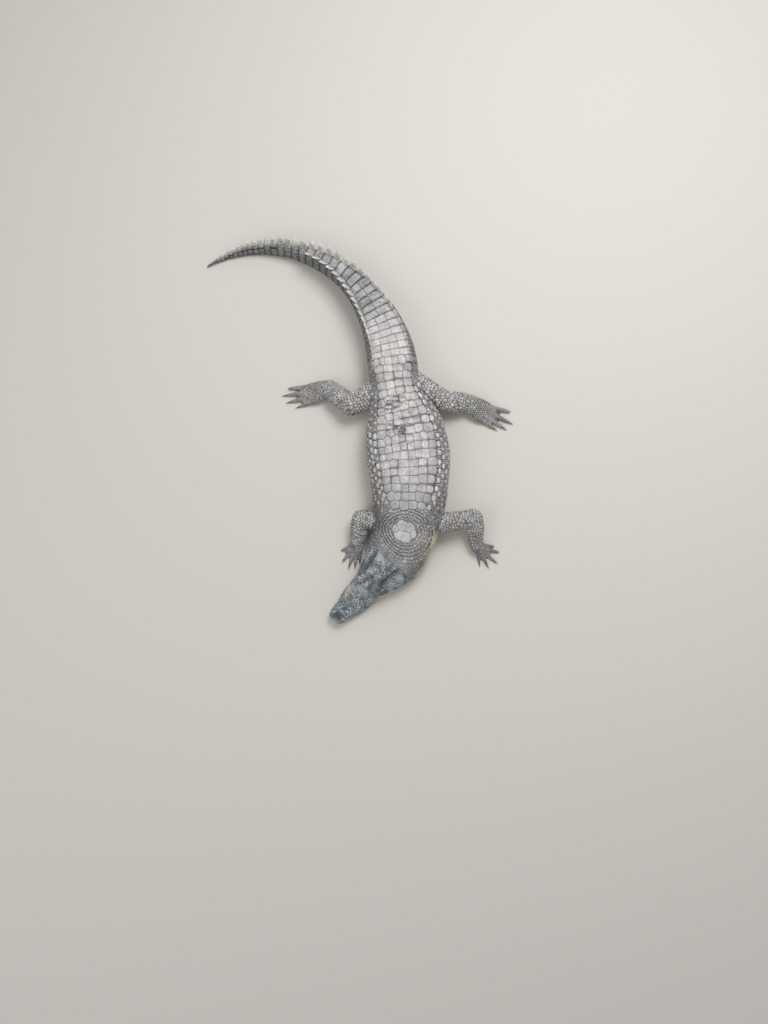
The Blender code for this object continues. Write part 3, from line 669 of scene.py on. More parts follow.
@dataclass
class LimbForm:
    """One leg: two lengths, a palm or sole, digits, and webs between the toes of a hind foot."""

    joints: tuple[tuple[float, float, float], ...]
    upper: tuple[tuple[float, float, float], ...]
    lower: tuple[tuple[float, float, float], ...]
    pad: tuple[tuple[float, float, float], ...]
    pad_length: float
    reaches: tuple[float, ...]
    directions: tuple[float, ...]
    radii: tuple[float, float, float]
    webbed: bool
    clawed: int = 3
    claw_length: float = 0.019
    claw_radius: float = 0.0030
    claw_share: float = 0.642
    web_thick: float = 0.0035
    web_reach: float = 0.80
    web_notch: float = 0.008
    shift: tuple[float, float] = MIDDLE

    def __post_init__(self) -> None:
        """Lays out the runs from the joints."""
        move = np.array([*self.shift, 0.0])
        root, bend, end = (np.array(j) + move for j in self.joints)
        self.main = [Run(root, bend, self.upper), Run(bend, end, self.lower)]
        self.leg_length = self.main[0].length + self.main[1].length
        middle = heading(float(np.mean(self.directions)))
        toe_root = end + middle * self.pad_length
        toe_root[2] = self.pad[-1][2] * 0.85
        self.palm = Run(end, toe_root, self.pad)
        self.wrist = np.array([end[0], end[1], 0.0])
        across = np.array([-middle[1], middle[0], 0.0])
        turn = 1 if self.directions[-1] > self.directions[0] else -1
        thick, mid, fine = self.radii
        self.digits = []
        self.claw_roots = []
        for i, (reach, direction) in enumerate(zip(self.reaches, self.directions)):
            spread = (i / (len(self.reaches) - 1) - 0.5) * 2 * turn
            knuckle = toe_root + across * spread * self.pad[-1][1] * 0.72 - middle * 0.010 * abs(spread)
            knuckle[2] = thick * 0.86
            has_claw = i < self.clawed
            claw = self.claw_length * self.claw_share if has_claw else 0.0
            tip = self.wrist + heading(direction) * (reach - claw)
            tip[2] = fine * 0.9
            girths = (
                (0.0, thick, thick * 0.95), (0.45, mid, mid * 0.95), (0.93, fine, fine),
                (1.0, fine * 0.6, fine * 0.6),
            )
            run = Run(knuckle, tip, girths)
            self.digits.append(run)
            if has_claw:
                level = unit(np.array([run.along[0], run.along[1], 0.0]))
                self.claw_roots.append((tip + UP * 0.0015, level))

    def web(self) -> Shell:
        """The thin skin between the toes.

        Returns:
            The shell.
        """
        digits = zip(self.directions, self.reaches)
        corners = [self.wrist + heading(way) * reach * self.web_reach for way, reach in digits]
        rim = [self.wrist + heading(self.directions[0]) * self.pad_length * 0.6, corners[0]]
        for a, b in zip(corners, corners[1:]):
            middle = (a + b) / 2
            rim += [middle - unit(middle - self.wrist) * self.web_notch, b]
        rim.append(self.wrist + heading(self.directions[-1]) * self.pad_length * 0.6)
        low = np.array(rim) + UP * 0.0008
        return Shell.through(np.array([low, low + UP * self.web_thick]))

    def shell(self) -> list[Shell]:
        """Every closed form of this leg.

        Returns:
            A shell for each form.
        """
        shells = [run.shell(36) for run in (*self.main, self.palm)]
        shells += [run.shell(18) for run in self.digits]
        if self.webbed:
            shells.append(self.web())
        return shells

    def down(self, points: Array, runs: Sequence[Run], shares: bool) -> tuple[Array, Array, Array]:
        """Where points lie on the nearest of some lengths of the leg.

        Args:
            points: the points.
            runs: the lengths, from the body outwards.
            shares: whether to measure how near they are in shares of the girth.

        Returns:
            How far down each point is, its turn round the leg and how far away it is.
        """
        gone, turned = np.zeros((2, len(points)))
        nearest = np.full(len(points), np.inf)
        passed = 0.0
        for run in runs:
            rel = points - run.start
            t = np.clip(rel @ run.along, 0.0, run.length)
            away = np.linalg.norm(rel - t[:, None] * run.along, axis=1)
            if shares:
                away = away / run.half_width(t / run.length)
            closer = away < nearest
            nearest = np.where(closer, away, nearest)
            gone = np.where(closer, passed + t, gone)
            turned = np.where(closer, np.arctan2(rel @ run.across, rel @ run.deep), turned)
            passed += run.length
        return gone, turned, nearest

    def locate(self, points: Array) -> tuple[Array, Array]:
        """How far points are down the leg, and how far from its surface in shares of its girth.

        Args:
            points: the points.

        Returns:
            How far down each point is, and its share, 1 on the surface.
        """
        gone, _, nearest = self.down(points, (*self.main, self.palm), True)
        flat = np.linalg.norm((points - self.wrist)[:, :2], axis=1)
        ahead = ((points - self.palm.start) @ self.palm.along) > 0
        on_digits = ahead & (flat < max(self.reaches) + 0.02) & (points[:, 2] < 0.03)
        gone = np.where(on_digits, np.maximum(gone, self.leg_length + flat), gone)
        nearest = np.where(on_digits, np.minimum(nearest, 1.0), nearest)
        return gone, nearest


UPPER_ARM = ((0.0, 0.042, 0.040), (0.45, 0.036, 0.035), (0.8, 0.033, 0.032), (1.0, 0.0335, 0.031))
FOREARM = ((0.0, 0.0335, 0.031), (0.3, 0.0345, 0.030), (0.7, 0.0285, 0.024), (1.0, 0.0235, 0.019))
THIGH = ((0.0, 0.050, 0.048), (0.4, 0.046, 0.044), (0.8, 0.040, 0.038), (1.0, 0.038, 0.035))
SHANK = ((0.0, 0.038, 0.034), (0.4, 0.038, 0.031), (0.8, 0.0345, 0.027), (1.0, 0.033, 0.0255))
PALM = ((0.0, 0.0235, 0.019), (0.5, 0.0255, 0.0145), (1.0, 0.0280, 0.0110))
SOLE = ((0.0, 0.033, 0.0255), (0.4, 0.037, 0.019), (0.8, 0.0395, 0.0145), (1.0, 0.0385, 0.012))
FINGERS = (0.073, 0.088, 0.096, 0.085, 0.064)
TOES = (0.138, 0.164, 0.174, 0.154)
FINGER_RADII = (0.0079, 0.0063, 0.0047)
TOE_RADII = (0.0096, 0.0080, 0.0054)
FORELEG = (UPPER_ARM, FOREARM, PALM, 0.036, FINGERS)
HINDLEG = (THIGH, SHANK, SOLE, 0.082, TOES)
LEGS = (
    (
        ((0.240, -0.358, 0.080), (0.426, -0.334, 0.058), (0.438, -0.428, 0.027)),
        *FORELEG, (280.0, 299.0, 319.0, 343.0, 356.0), FINGER_RADII, False,
    ),
    (
        ((0.150, -0.345, 0.080), (0.026, -0.334, 0.058), (0.008, -0.421, 0.027)),
        *FORELEG, (278.0, 264.0, 250.0, 231.0, 203.0), FINGER_RADII, False,
    ),
    (
        ((0.172, 0.176, 0.078), (0.325, 0.090, 0.056), (0.412, 0.088, 0.031)),
        *HINDLEG, (316.0, 325.5, 335.5, 349.0), TOE_RADII, True,
    ),
    (
        ((0.116, 0.140, 0.078), (-0.014, 0.078, 0.056), (-0.097, 0.145, 0.031)),
        *HINDLEG, (208.0, 196.0, 186.0, 177.0), TOE_RADII, True,
    ),
)


@dataclass
class Animal:
    """All the forms together, and where any point lies on them."""

    spine: Spine = field(default_factory=Spine)

    def __post_init__(self) -> None:
        """Makes the forms of the body, head and legs."""
        self.body = BodyForm(self.spine)
        self.head = HeadForm(self.spine)
        self.limbs = [LimbForm(*leg) for leg in LEGS]
        self.leg_lengths = np.array([limb.leg_length for limb in self.limbs])

    def shells(self) -> list[Shell]:
        """Every closed form of flesh.

        Returns:
            A shell for each form.
        """
        found = self.body.shell() + self.head.shell()
        for limb in self.limbs:
            found += limb.shell()
        return found


@dataclass
class Places:
    """Where points lie on the animal.

    Each array has one entry for a point: distance along the animal, distance off its
    middle, height, which leg it is on (or -1), how far down that leg, and how far the
    surface there faces up.
    """

    points: Array
    s: Array
    off: Array
    up: Array
    limb: Array
    down: Array
    facing: Array

    @classmethod
    def of(cls, animal: Animal, points: Array, normals: Array) -> "Places":
        """Finds the places of points on the skin.

        Args:
            animal: the forms that they lie on.
            points: the points.
            normals: which way the surface faces at each of them.

        Returns:
            Their places.
        """
        s, off = animal.spine.locate(points)
        up = points[:, 2]
        head = animal.head
        past_jaws = np.abs(off - head.jaw_sway(s)) > head.half_width(s) + 0.004
        outside = np.where(s < 0.30, past_jaws, animal.body.fullness(s, off, up) > 1.06)
        limb = np.full(len(points), -1)
        down = np.zeros(len(points))
        best = np.full(len(points), 1.6)
        for index, form in enumerate(animal.limbs):
            gone, away = form.locate(points)
            mine = outside & (away < best)
            limb[mine] = index
            down[mine] = gone[mine]
            best[mine] = away[mine]
        return cls(points, s, off, up, limb, down, normals[:, 2])

    def within(self, start: float, end: float) -> Array:
        """Which points are on the head, trunk or tail between two distances, and on no leg."""
        return (self.s >= start) & (self.s < end) & (self.limb < 0)

    def chosen(self, index: Array) -> "Places":
        """Only some of them."""
        return Places(*(value[index] for value in vars(self).values()))


# --- marks on the hide ---------------------------------------------------------------------
@dataclass(frozen=True)
class CrestLine:
    """Where the blades of the tail crest stand: two rows that draw together into one.

    Rows give the distance along, then how far off the middle, how tall or how long.
    """

    start: float = 1.034
    double: int = 18
    single: int = 16
    left_lean: float = 42.0
    right_lean: float = 40.0
    single_lean: float = 34.0
    thick: float = 0.0065
    foot: float = 0.006
    lengths: Rows = Rows(
        (
            (1.03, 0.0250), (1.15, 0.0280), (1.27, 0.0310), (1.42, 0.0330), (1.52, 0.0322),
            (1.60, 0.0298), (1.70, 0.0252), (1.80, 0.0204), (1.93, 0.0145),
        )
    )
    apart: Rows = Rows(
        (
            (1.03, 0.0640), (1.15, 0.0570), (1.25, 0.0470), (1.33, 0.0370), (1.385, 0.0285),
            (1.45, 0.0190), (1.52, 0.0120), (1.58, 0.0080),
        )
    )
    tall: Rows = Rows(
        (
            (1.03, 0.005), (1.15, 0.010), (1.25, 0.016), (1.33, 0.022), (1.385, 0.027), (1.45, 0.030),
            (1.52, 0.032), (1.58, 0.032), (1.66, 0.029), (1.75, 0.023), (1.85, 0.015), (1.93, 0.006),
        )
    )

    def rows(self) -> list[tuple[float, float]]:
        """The middle and length of every cross row of the tail that bears a blade.

        Returns:
            Both measures of each row.
        """
        found, start = [], self.start
        for _ in range(self.double + self.single):
            length = float(self.lengths(start))
            found.append((start + length / 2, length))
            start += length
        return found

    def blades(self) -> Iterator[tuple[float, float, float, float]]:
        """Every blade: distance along, length, distance off the middle and lean.

        Returns:
            The measures of one blade after another.
        """
        for number, (s, length) in enumerate(self.rows()):
            if number < self.double:
                apart = float(self.apart(s))
                yield s, length, apart, self.left_lean
                yield s, length, -apart, -self.right_lean
            else:
                yield s, length, 0.0, self.single_lean


@dataclass(frozen=True)
class Markings:
    """Shares of each colour of the hide at any place, the same for skin and scales."""

    crest: CrestLine = CrestLine()

    def light(self, p: Places, animal: Animal) -> Array:
        """How bleached the plates are: most along the back, least low on the sides; on the tail and legs,
        places that face up are also made paler as painted light.

        Args:
            p: the places.
            animal: the forms of the animal.

        Returns:
            A share for each place.
        """
        across = np.abs(p.off) / animal.body.half_width(p.s)
        trunk = 0.33 + 0.44 * ramp(across, 0.95, 0.34)
        trunk -= 0.28 * ramp(p.s, 0.67, 0.44) + 0.10 * bump(p.s - 1.0, 0.06)
        edge = np.abs(p.off) - self.crest.apart(p.s)
        top = 0.66 - 0.34 * ramp(p.s, 1.13, 1.32)
        # partly painted light: the tail top between the crest rows is paler, and more so where it faces up
        tail = 0.16 + top * ramp(edge, 0.010, 0.002) * ramp(p.facing, 0.2, 0.6)
        mixed = trunk + (tail - trunk) * ramp(p.s, 0.99, 1.05)
        mixed += 0.09 * grain(p.points, 0.05, 3) + 0.07 * grain(p.points, 0.016, 15)
        leg = np.where(p.limb > Limb.FORE_RIGHT.value, 0.40, 0.31) + 0.17 * ramp(p.down, 0.34, 0.20)
        leg += 0.06 * grain(p.points, 0.04, 4) + 0.12 * grain(p.points, 0.018, 16)
        # painted light: the legs are paler where they face up
        leg += 0.11 * ramp(p.facing, 0.45, 0.95) - 0.04
        return np.where(p.limb >= 0, leg, mixed)

    def pale(self, p: Places, animal: Animal) -> Array:
        """The yellowish white of the belly, throat, left edge of the lip and inner legs.

        Args:
            p: the places.
            animal: the forms of the animal.

        Returns:
            A share for each place.
        """
        left = ramp(p.off, 0.0, 0.03)
        trunk = ramp(p.s, 1.04, 0.98)
        low = ramp(p.up, 0.046, 0.020) * ramp(p.facing, 0.55, 0.05) * trunk
        under = ramp(p.facing, -0.15, -0.60)
        chest = ramp(p.s, 0.30, 0.36) * ramp(p.s, 0.66, 0.56)
        side = chest * ramp(p.up, 0.078, 0.046) * ramp(p.facing, 0.62, 0.30)
        rim = left * ramp(p.s, 0.29, 0.33) * ramp(p.s, 0.92, 0.80)
        rim = rim * ramp(p.up, 0.094, 0.066) * ramp(p.facing, 0.58, 0.30)
        lip = left * ramp(p.s, 0.14, 0.18) * ramp(p.s, 0.34, 0.31)
        lip = lip * bump(p.up - animal.head.lip(p.s) - 0.003, 0.0075)
        patch = bump(np.hypot(p.s - 0.105, p.off + 0.032), 0.020) * ramp(p.up, 0.03, 0.04)
        nape = 0.8 * left * bump(p.s - 0.405, 0.036) * ramp(p.facing, 0.80, 0.50)
        cheek = left * ramp(p.s, 0.13, 0.17) * ramp(p.s, 0.32, 0.28)
        cheek = 0.6 * cheek * ramp(p.up - animal.head.lip(p.s), 0.030, 0.012)
        parts = [0.85 * low, under, 0.75 * side, 0.85 * rim, 0.85 * lip, 0.26 * patch, nape, cheek]
        body = np.maximum.reduce(parts)
        body = body * (0.85 + 0.15 * grain(p.points, 0.012, 5))
        return np.clip(np.where(p.limb >= 0, under * 0.8, body), 0.0, 1.0)

    def brown(self, p: Places) -> Array:
        """Where dark brown mottling may show through the plates, with more on the sides of the tail as
        painted shade.

        Args:
            p: the places.

        Returns:
            A share for each place.
        """
        rear = ramp(p.s, 0.68, 0.77) * ramp(p.s, 0.93, 0.87)
        back = rear * bump(p.off + 0.016, 0.056)
        # painted shade: the sides of the tail that face away from up get more of the dark brown
        tail = 0.75 * ramp(p.s, 1.10, 1.28) + 0.25 * ramp(p.facing, 0.4, 0.1) * (p.s > 1.1)
        return np.where(p.limb >= 0, 0.12, np.maximum(back, tail))

    def slate(self, p: Places) -> Array:
        """The blue grey of the head."""
        body = 0.10 + 0.90 * ramp(p.s, 0.33, 0.285) + 0.36 * ramp(p.s, 1.10, 1.30)
        return np.where(p.limb >= 0, 0.20, body)

    def all(self, p: Places, animal: Animal) -> dict[str, Array]:
        """Every share by its name.

        Args:
            p: the places.
            animal: the forms of the animal.

        Returns:
            For each name, a share for each place.
        """
        return {
            "light": self.light(p, animal), "pale": self.pale(p, animal), "brown": self.brown(p),
            "slate": self.slate(p),
        }


# --- meshes --------------------------------------------------------------------------------
@dataclass
class Cloth:
    """A mesh as bare arrays: points, the corners of its faces in a row, and face sizes."""

    points: Array
    corners: Array
    sizes: Array
    values: dict[str, Array] = field(default_factory=dict)
    spots: Array | None = None

    @classmethod
    def of(cls, shells: Sequence[Shell], values: dict[str, Array] | None = None) -> "Cloth":
        """Several closed forms as one, all facing outwards.

        Args:
            shells: the closed forms.
            values: the markings of each point, by name.

        Returns:
            The cloth.
        """
        points, faces = Shell.together([Shell(shell.points, shell.outward()) for shell in shells])
        sizes = np.array([len(face) for face in faces])
        corners = np.array([i for face in faces for i in face])
        return cls(inside_box(points), corners, sizes, values or {})

    def object(self, name: str) -> bpy.types.Object:
        """Makes the Blender object, with a value for each point and the map.

        Args:
            name: what the piece is called.

        Returns:
            The object.
        """
        data = bpy.data.meshes.new(name)
        data.vertices.add(len(self.points))
        data.vertices.foreach_set("co", self.points.astype(np.float32).ravel())
        data.loops.add(len(self.corners))
        data.loops.foreach_set("vertex_index", self.corners.astype(np.int32))
        data.polygons.add(len(self.sizes))
        data.polygons.foreach_set("loop_start", first_corners(self.sizes).astype(np.int32))
        data.update(calc_edges=True)
        data.validate()
        for key, value in self.values.items():
            layer = data.attributes.new(key, "FLOAT", "POINT")
            layer.data.foreach_set("value", value.astype(np.float32))
        if self.spots is not None:
            layer = data.uv_layers.new(name=MAP_NAME)
            layer.data.foreach_set("uv", self.spots.astype(np.float32).ravel())
        data.shade_smooth()
        return linked(name, data)


def first_corners(sizes: Array) -> Array:
    """The number of the first corner of each face."""
    return np.concatenate(([0], np.cumsum(sizes)[:-1]))


def linked(name: str, data: bpy.types.ID | None) -> bpy.types.Object:
    """A new object in the scene.

    Args:
        name: what it is called.
        data: its mesh, lamp or camera.

    Returns:
        The object.
    """
    made = bpy.data.objects.new(name, data)
    bpy.context.scene.collection.objects.link(made)
    return made


def inside_box(points: Array) -> Array:
    """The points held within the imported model's own box."""
    low, high = (np.array(corner) for corner in CAD_BOX)
    return np.clip(points, low, high)


def read(items: Sequence, key: str, width: int = 1, kind: type = np.int64) -> Array:
    """One measure of every point, corner, edge or face, in rows of a width.

    Args:
        items: the parts of the mesh.
        key: the name of the measure.
        width: how many numbers each part has.
        kind: their type.

    Returns:
        The numbers, in a row for each part when there are more than one.
    """
    found = np.zeros(len(items) * width, kind)
    items.foreach_get(key, found)
    return found.reshape(-1, width) if width > 1 else found


def read_mesh(data: bpy.types.Mesh) -> tuple[Array, Array, Array]:
    """Points, corners and face sizes of a Blender mesh."""
    points = read(data.vertices, "co", 3, float)
    return points, read(data.loops, "vertex_index"), read(data.polygons, "loop_total")


def point_normals(points: Array, corners: Array, sizes: Array) -> Array:
    """A smooth outward direction at every point.

    Args:
        points: the points.
        corners: the number of the point at each corner of each face.
        sizes: how many corners each face has.

    Returns:
        Directions of length 1.
    """
    starts = first_corners(sizes)
    a, b = points[corners[starts]], points[corners[starts + 1]]
    c = points[corners[starts + 2]]
    d = points[corners[starts + np.minimum(3, sizes - 1)]]
    face = np.cross(c - a, d - b) + np.where((sizes == 3)[:, None], np.cross(b - a, c - a), 0.0)
    spread = np.repeat(face, sizes, axis=0)
    total = np.stack([np.bincount(corners, spread[:, k], len(points)) for k in range(3)], axis=1)
    return unit(total)


def relax(points: Array, edges: Array, share: Array, rounds: int) -> Array:
    """Draws each point towards the middle of its neighbours.

    Args:
        points: the points of a mesh.
        edges: the two ends of each of its edges.
        share: how far each point goes in a round, from 0 to 1.
        rounds: how often.

    Returns:
        The moved points.
    """
    a, b = edges.T
    count = len(points)
    degree = np.bincount(np.concatenate((a, b)), minlength=count)[:, None]
    moved = points.copy()
    for _ in range(rounds):
        total = np.stack(
            [np.bincount(a, moved[b, k], count) + np.bincount(b, moved[a, k], count) for k in range(3)],
            axis=1,
        )
        moved += share[:, None] * (total / np.maximum(degree, 1) - moved)
    return moved


def smoothed(points: Array, edges: Array, share: Array, rounds: int) -> Array:
    """Relaxes without shrinking: every round in is followed by one out.

    Args:
        points: the points.
        edges: the two ends of each edge.
        share: how far each point goes in a round.
        rounds: how often.

    Returns:
        The moved points.
    """
    moved = points
    for _ in range(rounds):
        moved = relax(moved, edges, share * 0.55, 1)
        moved = relax(moved, edges, share * -0.57, 1)
    return moved


# --- the skin ------------------------------------------------------------------------------
@dataclass
class Relief:
    """Folds, grooves and ridges of the skin, as heights above its smooth form."""

    animal: Animal
    mouth_end: float = 0.252
    mouth_deep: float = 0.0026
    ridge_apart: float = 0.0088
    ridge_wide: float = 0.0017
    ridge_high: float = 0.0011
    ridge_tries: int = 20000
    shield_at: float = 0.409
    shield_long: float = 0.038
    shield_wide: float = 0.045
    fold_apart: float = 0.0104
    fold_high: float = 0.0017

    def ridges(self, p: Places) -> Array:
        """A net of fine ridges over the head: 1 on a ridge and 0 between them.

        Args:
            p: the places.

        Returns:
            A share for each place.
        """
        chosen = np.flatnonzero(p.within(0.0, 0.33))
        order = np.random.default_rng(11).permutation(chosen)[: self.ridge_tries]
        kept: dict[tuple[int, int, int], Vector] = {}
        around = list(itertools.product((-1, 0, 1), repeat=3))
        for spot in p.points[order]:
            i, j, k = (int(v) for v in np.floor(spot / self.ridge_apart))
            near = [kept.get((i + a, j + b, k + c)) for a, b, c in around]
            if not any(one and (one - Vector(spot)).length < self.ridge_apart for one in near):
                kept[i, j, k] = Vector(spot)
        tree = KDTree(len(kept))
        for number, spot in enumerate(kept.values()):
            tree.insert(spot, number)
        tree.balance()
        gaps = np.array([[hit[2] for hit in tree.find_n(p.points[i], 2)] for i in chosen])
        found = np.zeros(len(p.s))
        found[chosen] = bump(gaps[:, 1] - gaps[:, 0], self.ridge_wide)
        return found

    def head(self, p: Places, ridges: Array) -> Array:
        """Mouth, lips, nostrils, ear slits and the sculpture of the skull.

        Args:
            p: the places.
            ridges: the net of ridges.

        Returns:
            How far out each place goes.
        """
        form = self.animal.head
        lip, wide = form.lip(p.s), form.half_width(p.s)
        rise = np.maximum(form.crown(p.s) - lip, 0.005)
        rel = p.off - form.jaw_sway(p.s) * (1 - np.clip((p.up - lip) / rise, 0.0, 1.0))
        at_side = ramp(np.abs(rel) / wide, 0.45, 0.7)
        along = ramp(p.s, self.mouth_end + 0.012, self.mouth_end)
        line = -self.mouth_deep * bump(p.up - lip - 0.0004, 0.0013) * at_side * along
        wave = np.sin(2 * math.pi * p.s / 0.040 + 0.8)
        lips = 0.0011 * wave * bump(p.up - lip - 0.006, 0.006)
        lips = lips - 0.0011 * wave * bump(p.up - lip + 0.006, 0.006)
        lips = (lips + 0.0008 * bump(p.up - lip - 0.003, 0.0022)) * at_side * along
        hard = ramp(p.up - lip, 0.006, 0.014) * ramp(p.s, 0.315, 0.292)
        skull = ridges * self.ridge_high * hard
        skull += 0.0006 * hard * (grain(p.points, 0.011, 1) + 0.6 * grain(p.points, 0.005, 2))
        side = np.abs(p.off)
        table = form.table_edge(p.s)
        on_table = ramp(p.s, 0.208, 0.218) * ramp(p.s, 0.290, 0.280)
        ear = -0.0020 * bump(side - table - 0.0030, 0.0048) * ramp(p.up, 0.086, 0.094) * on_table
        rim = 0.0010 * bump(side - table + 0.004, 0.0028) * on_table * ramp(p.up, 0.104, 0.106)
        pit = -0.0026 * bump(np.hypot((p.s - 0.243) / 1.5, side - 0.0185), 0.0062)
        pit = pit * ramp(p.up, 0.103, 0.106)
        bar = 0.0014 * bump(side - (0.0105 + (p.s - 0.10) * 0.20), 0.0045)
        bar = bar * ramp(p.s, 0.085, 0.13) * ramp(p.s, 0.195, 0.18)
        bar = bar * ramp(p.up - lip, 0.015, 0.025)
        middle = -0.0016 * bump(p.off, 0.010) * ramp(p.s, 0.17, 0.19)
        middle = middle * ramp(p.s, 0.226, 0.212)
        on_snout = ramp(p.up, 0.040, 0.045)
        ring_s, ring_off, ring_size = form.nostril_ring
        around = np.hypot(p.s - ring_s, side - ring_off)
        opening = bump(around - ring_size, 0.0016) * ramp(side, 0.0108, 0.0086)
        nostril = (-0.0034 * opening + 0.0011 * bump(around, 0.0036)) * on_snout
        disc = 0.0010 * bump(np.hypot(p.s - form.nostril_disc, p.off) - 0.0165, 0.0024) * on_snout
        return line + lips + skull + ear + rim + pit + bar + middle + nostril + disc

    def neck(self, p: Places) -> Array:
        """Folds that ring the shield of the nape, and creases behind the jaws.

        Args:
            p: the places.

        Returns:
            How far out each place goes.
        """
        round_shield = np.hypot((p.s - self.shield_at) / self.shield_long, p.off / self.shield_wide)
        apart = self.fold_apart / self.shield_long
        wobble = 0.04 * grain(p.points, 0.030, 6)
        folds = -np.cos(2 * math.pi * (round_shield - 1 + wobble) / apart)
        near = ramp(round_shield, 1.0, 1.15) * ramp(round_shield, 2.7, 1.9)
        near = near * ramp(p.s, 0.292, 0.312) * ramp(p.s, 0.505, 0.485)
        crease = ramp(p.s, 0.27, 0.30) * ramp(p.s, 0.42, 0.36)
        crease = crease * ramp(p.up, 0.095, 0.07)
        cross = np.sin(2 * math.pi * (p.s + 0.25 * p.up) / 0.0105 + 5 * grain(p.points, 0.022, 10))
        swell = 0.0014 * ramp(round_shield, 1.06, 0.84)
        return self.fold_high * folds * near + 0.0006 * cross * crease + swell

    def legs(self, p: Places) -> Array:
        """Soft wrinkles and muscle on the legs.

        Args:
            p: the places.

        Returns:
            How far out each place goes.
        """
        on_leg = (p.limb >= 0).astype(float)
        wrinkle = 0.0005 * np.sin(2 * math.pi * (p.down + 0.01 * grain(p.points, 0.03, 7)) / 0.012)
        return on_leg * (wrinkle + 0.0016 * grain(p.points, 0.045, 8)) * ramp(p.up, 0.012, 0.03)

    def heights(self, p: Places, ridges: Array) -> Array:
        """All of the relief together.

        Args:
            p: the places.
            ridges: the net of ridges.

        Returns:
            How far out each place goes.
        """
        on_head = p.within(0.0, 0.32)
        lumps = 0.0008 * grain(p.points, 0.030, 9) * (p.up > 0.006)
        on_neck = p.within(0.25, 0.55)
        return (
            np.where(on_head, self.head(p, ridges), 0.0)
            + np.where(on_neck, self.neck(p), 0.0)
            + self.legs(p)
            + np.where(on_head, 0.0, lumps)
        )


@dataclass
class Unwrap:
    """Lays the skin out flat: head to hips, tail, each leg, and the top and sole of each foot."""

    animal: Animal
    scale: float = 0.56
    tail_from: float = 1.02
    edge: float = 0.012

    def sheets(self, p: Places) -> Array:
        """Every place on every sheet of the layout, as sheets by points by two.

        Args:
            p: the places.

        Returns:
            The places on the sheets.
        """
        body = self.animal.body
        middle = body.widest(p.s) * 0.9
        turn = np.arctan2(p.off, p.up - middle)
        reach = 0.30 + 0.12 * (p.s < self.tail_from)
        around = turn / math.pi * np.minimum(np.pi * (body.half_width(p.s) + 0.02), reach)
        trunk = np.stack([0.42 + around, p.s], axis=1)
        tail = np.stack([1.10 + around, p.s - self.tail_from], axis=1)
        sheets = [trunk, tail]
        for index, limb in enumerate(self.animal.limbs):
            gone, turned, _ = limb.down(p.points, limb.main, False)
            sheets.append(np.stack([1.50 + turned * 0.034, 0.03 + index * 0.42 + gone], axis=1))
        for index, limb in enumerate(self.animal.limbs):
            flat = (p.points - limb.wrist)[:, :2]
            ahead = limb.palm.along[:2] / np.linalg.norm(limb.palm.along[:2])
            aside = np.array([-ahead[1], ahead[0]])
            place = np.stack([flat @ aside, flat @ ahead], axis=1)
            sheets.append(place + np.array([0.10 + 0.21 * index, 1.10]))
            sheets.append(place + np.array([0.10 + 0.21 * index, 1.34]))
        return (np.array(sheets) + self.edge) * self.scale

    def sheet_of(self, p: Places) -> Array:
        """Which sheet each point belongs to.

        Args:
            p: the places.

        Returns:
            The number of a sheet for each point.
        """
        found = np.where(p.s < self.tail_from, 0, 1)
        for index, limb in enumerate(self.animal.limbs):
            on_leg = p.limb == index
            found = np.where(on_leg, 2 + index, found)
            foot = on_leg & (p.down > limb.leg_length + 0.004)
            found = np.where(foot, 6 + 2 * index + (p.facing < 0), found)
        return found

    def spots(self, p: Places, corners: Array, sizes: Array) -> Array:
        """The place on the layout of each corner of each face.

        Args:
            p: the places of the points.
            corners: the number of the point at each corner of each face.
            sizes: how many corners each face has.

        Returns:
            A place on the layout for each corner.
        """
        sheets = self.sheets(p)
        starts = first_corners(sizes)
        own = np.maximum.reduceat(self.sheet_of(p)[corners], starts)
        spots = sheets[np.repeat(own, sizes), corners]
        high = np.maximum.reduceat(spots[:, 0], starts)
        low = np.minimum.reduceat(spots[:, 0], starts)
        torn = np.repeat((high - low) > 0.05, sizes)
        spots[torn, 0] = np.where(
            spots[torn, 0] < np.repeat((high + low) / 2, sizes)[torn], np.repeat(high, sizes)[torn],
            spots[torn, 0],
        )
        return spots


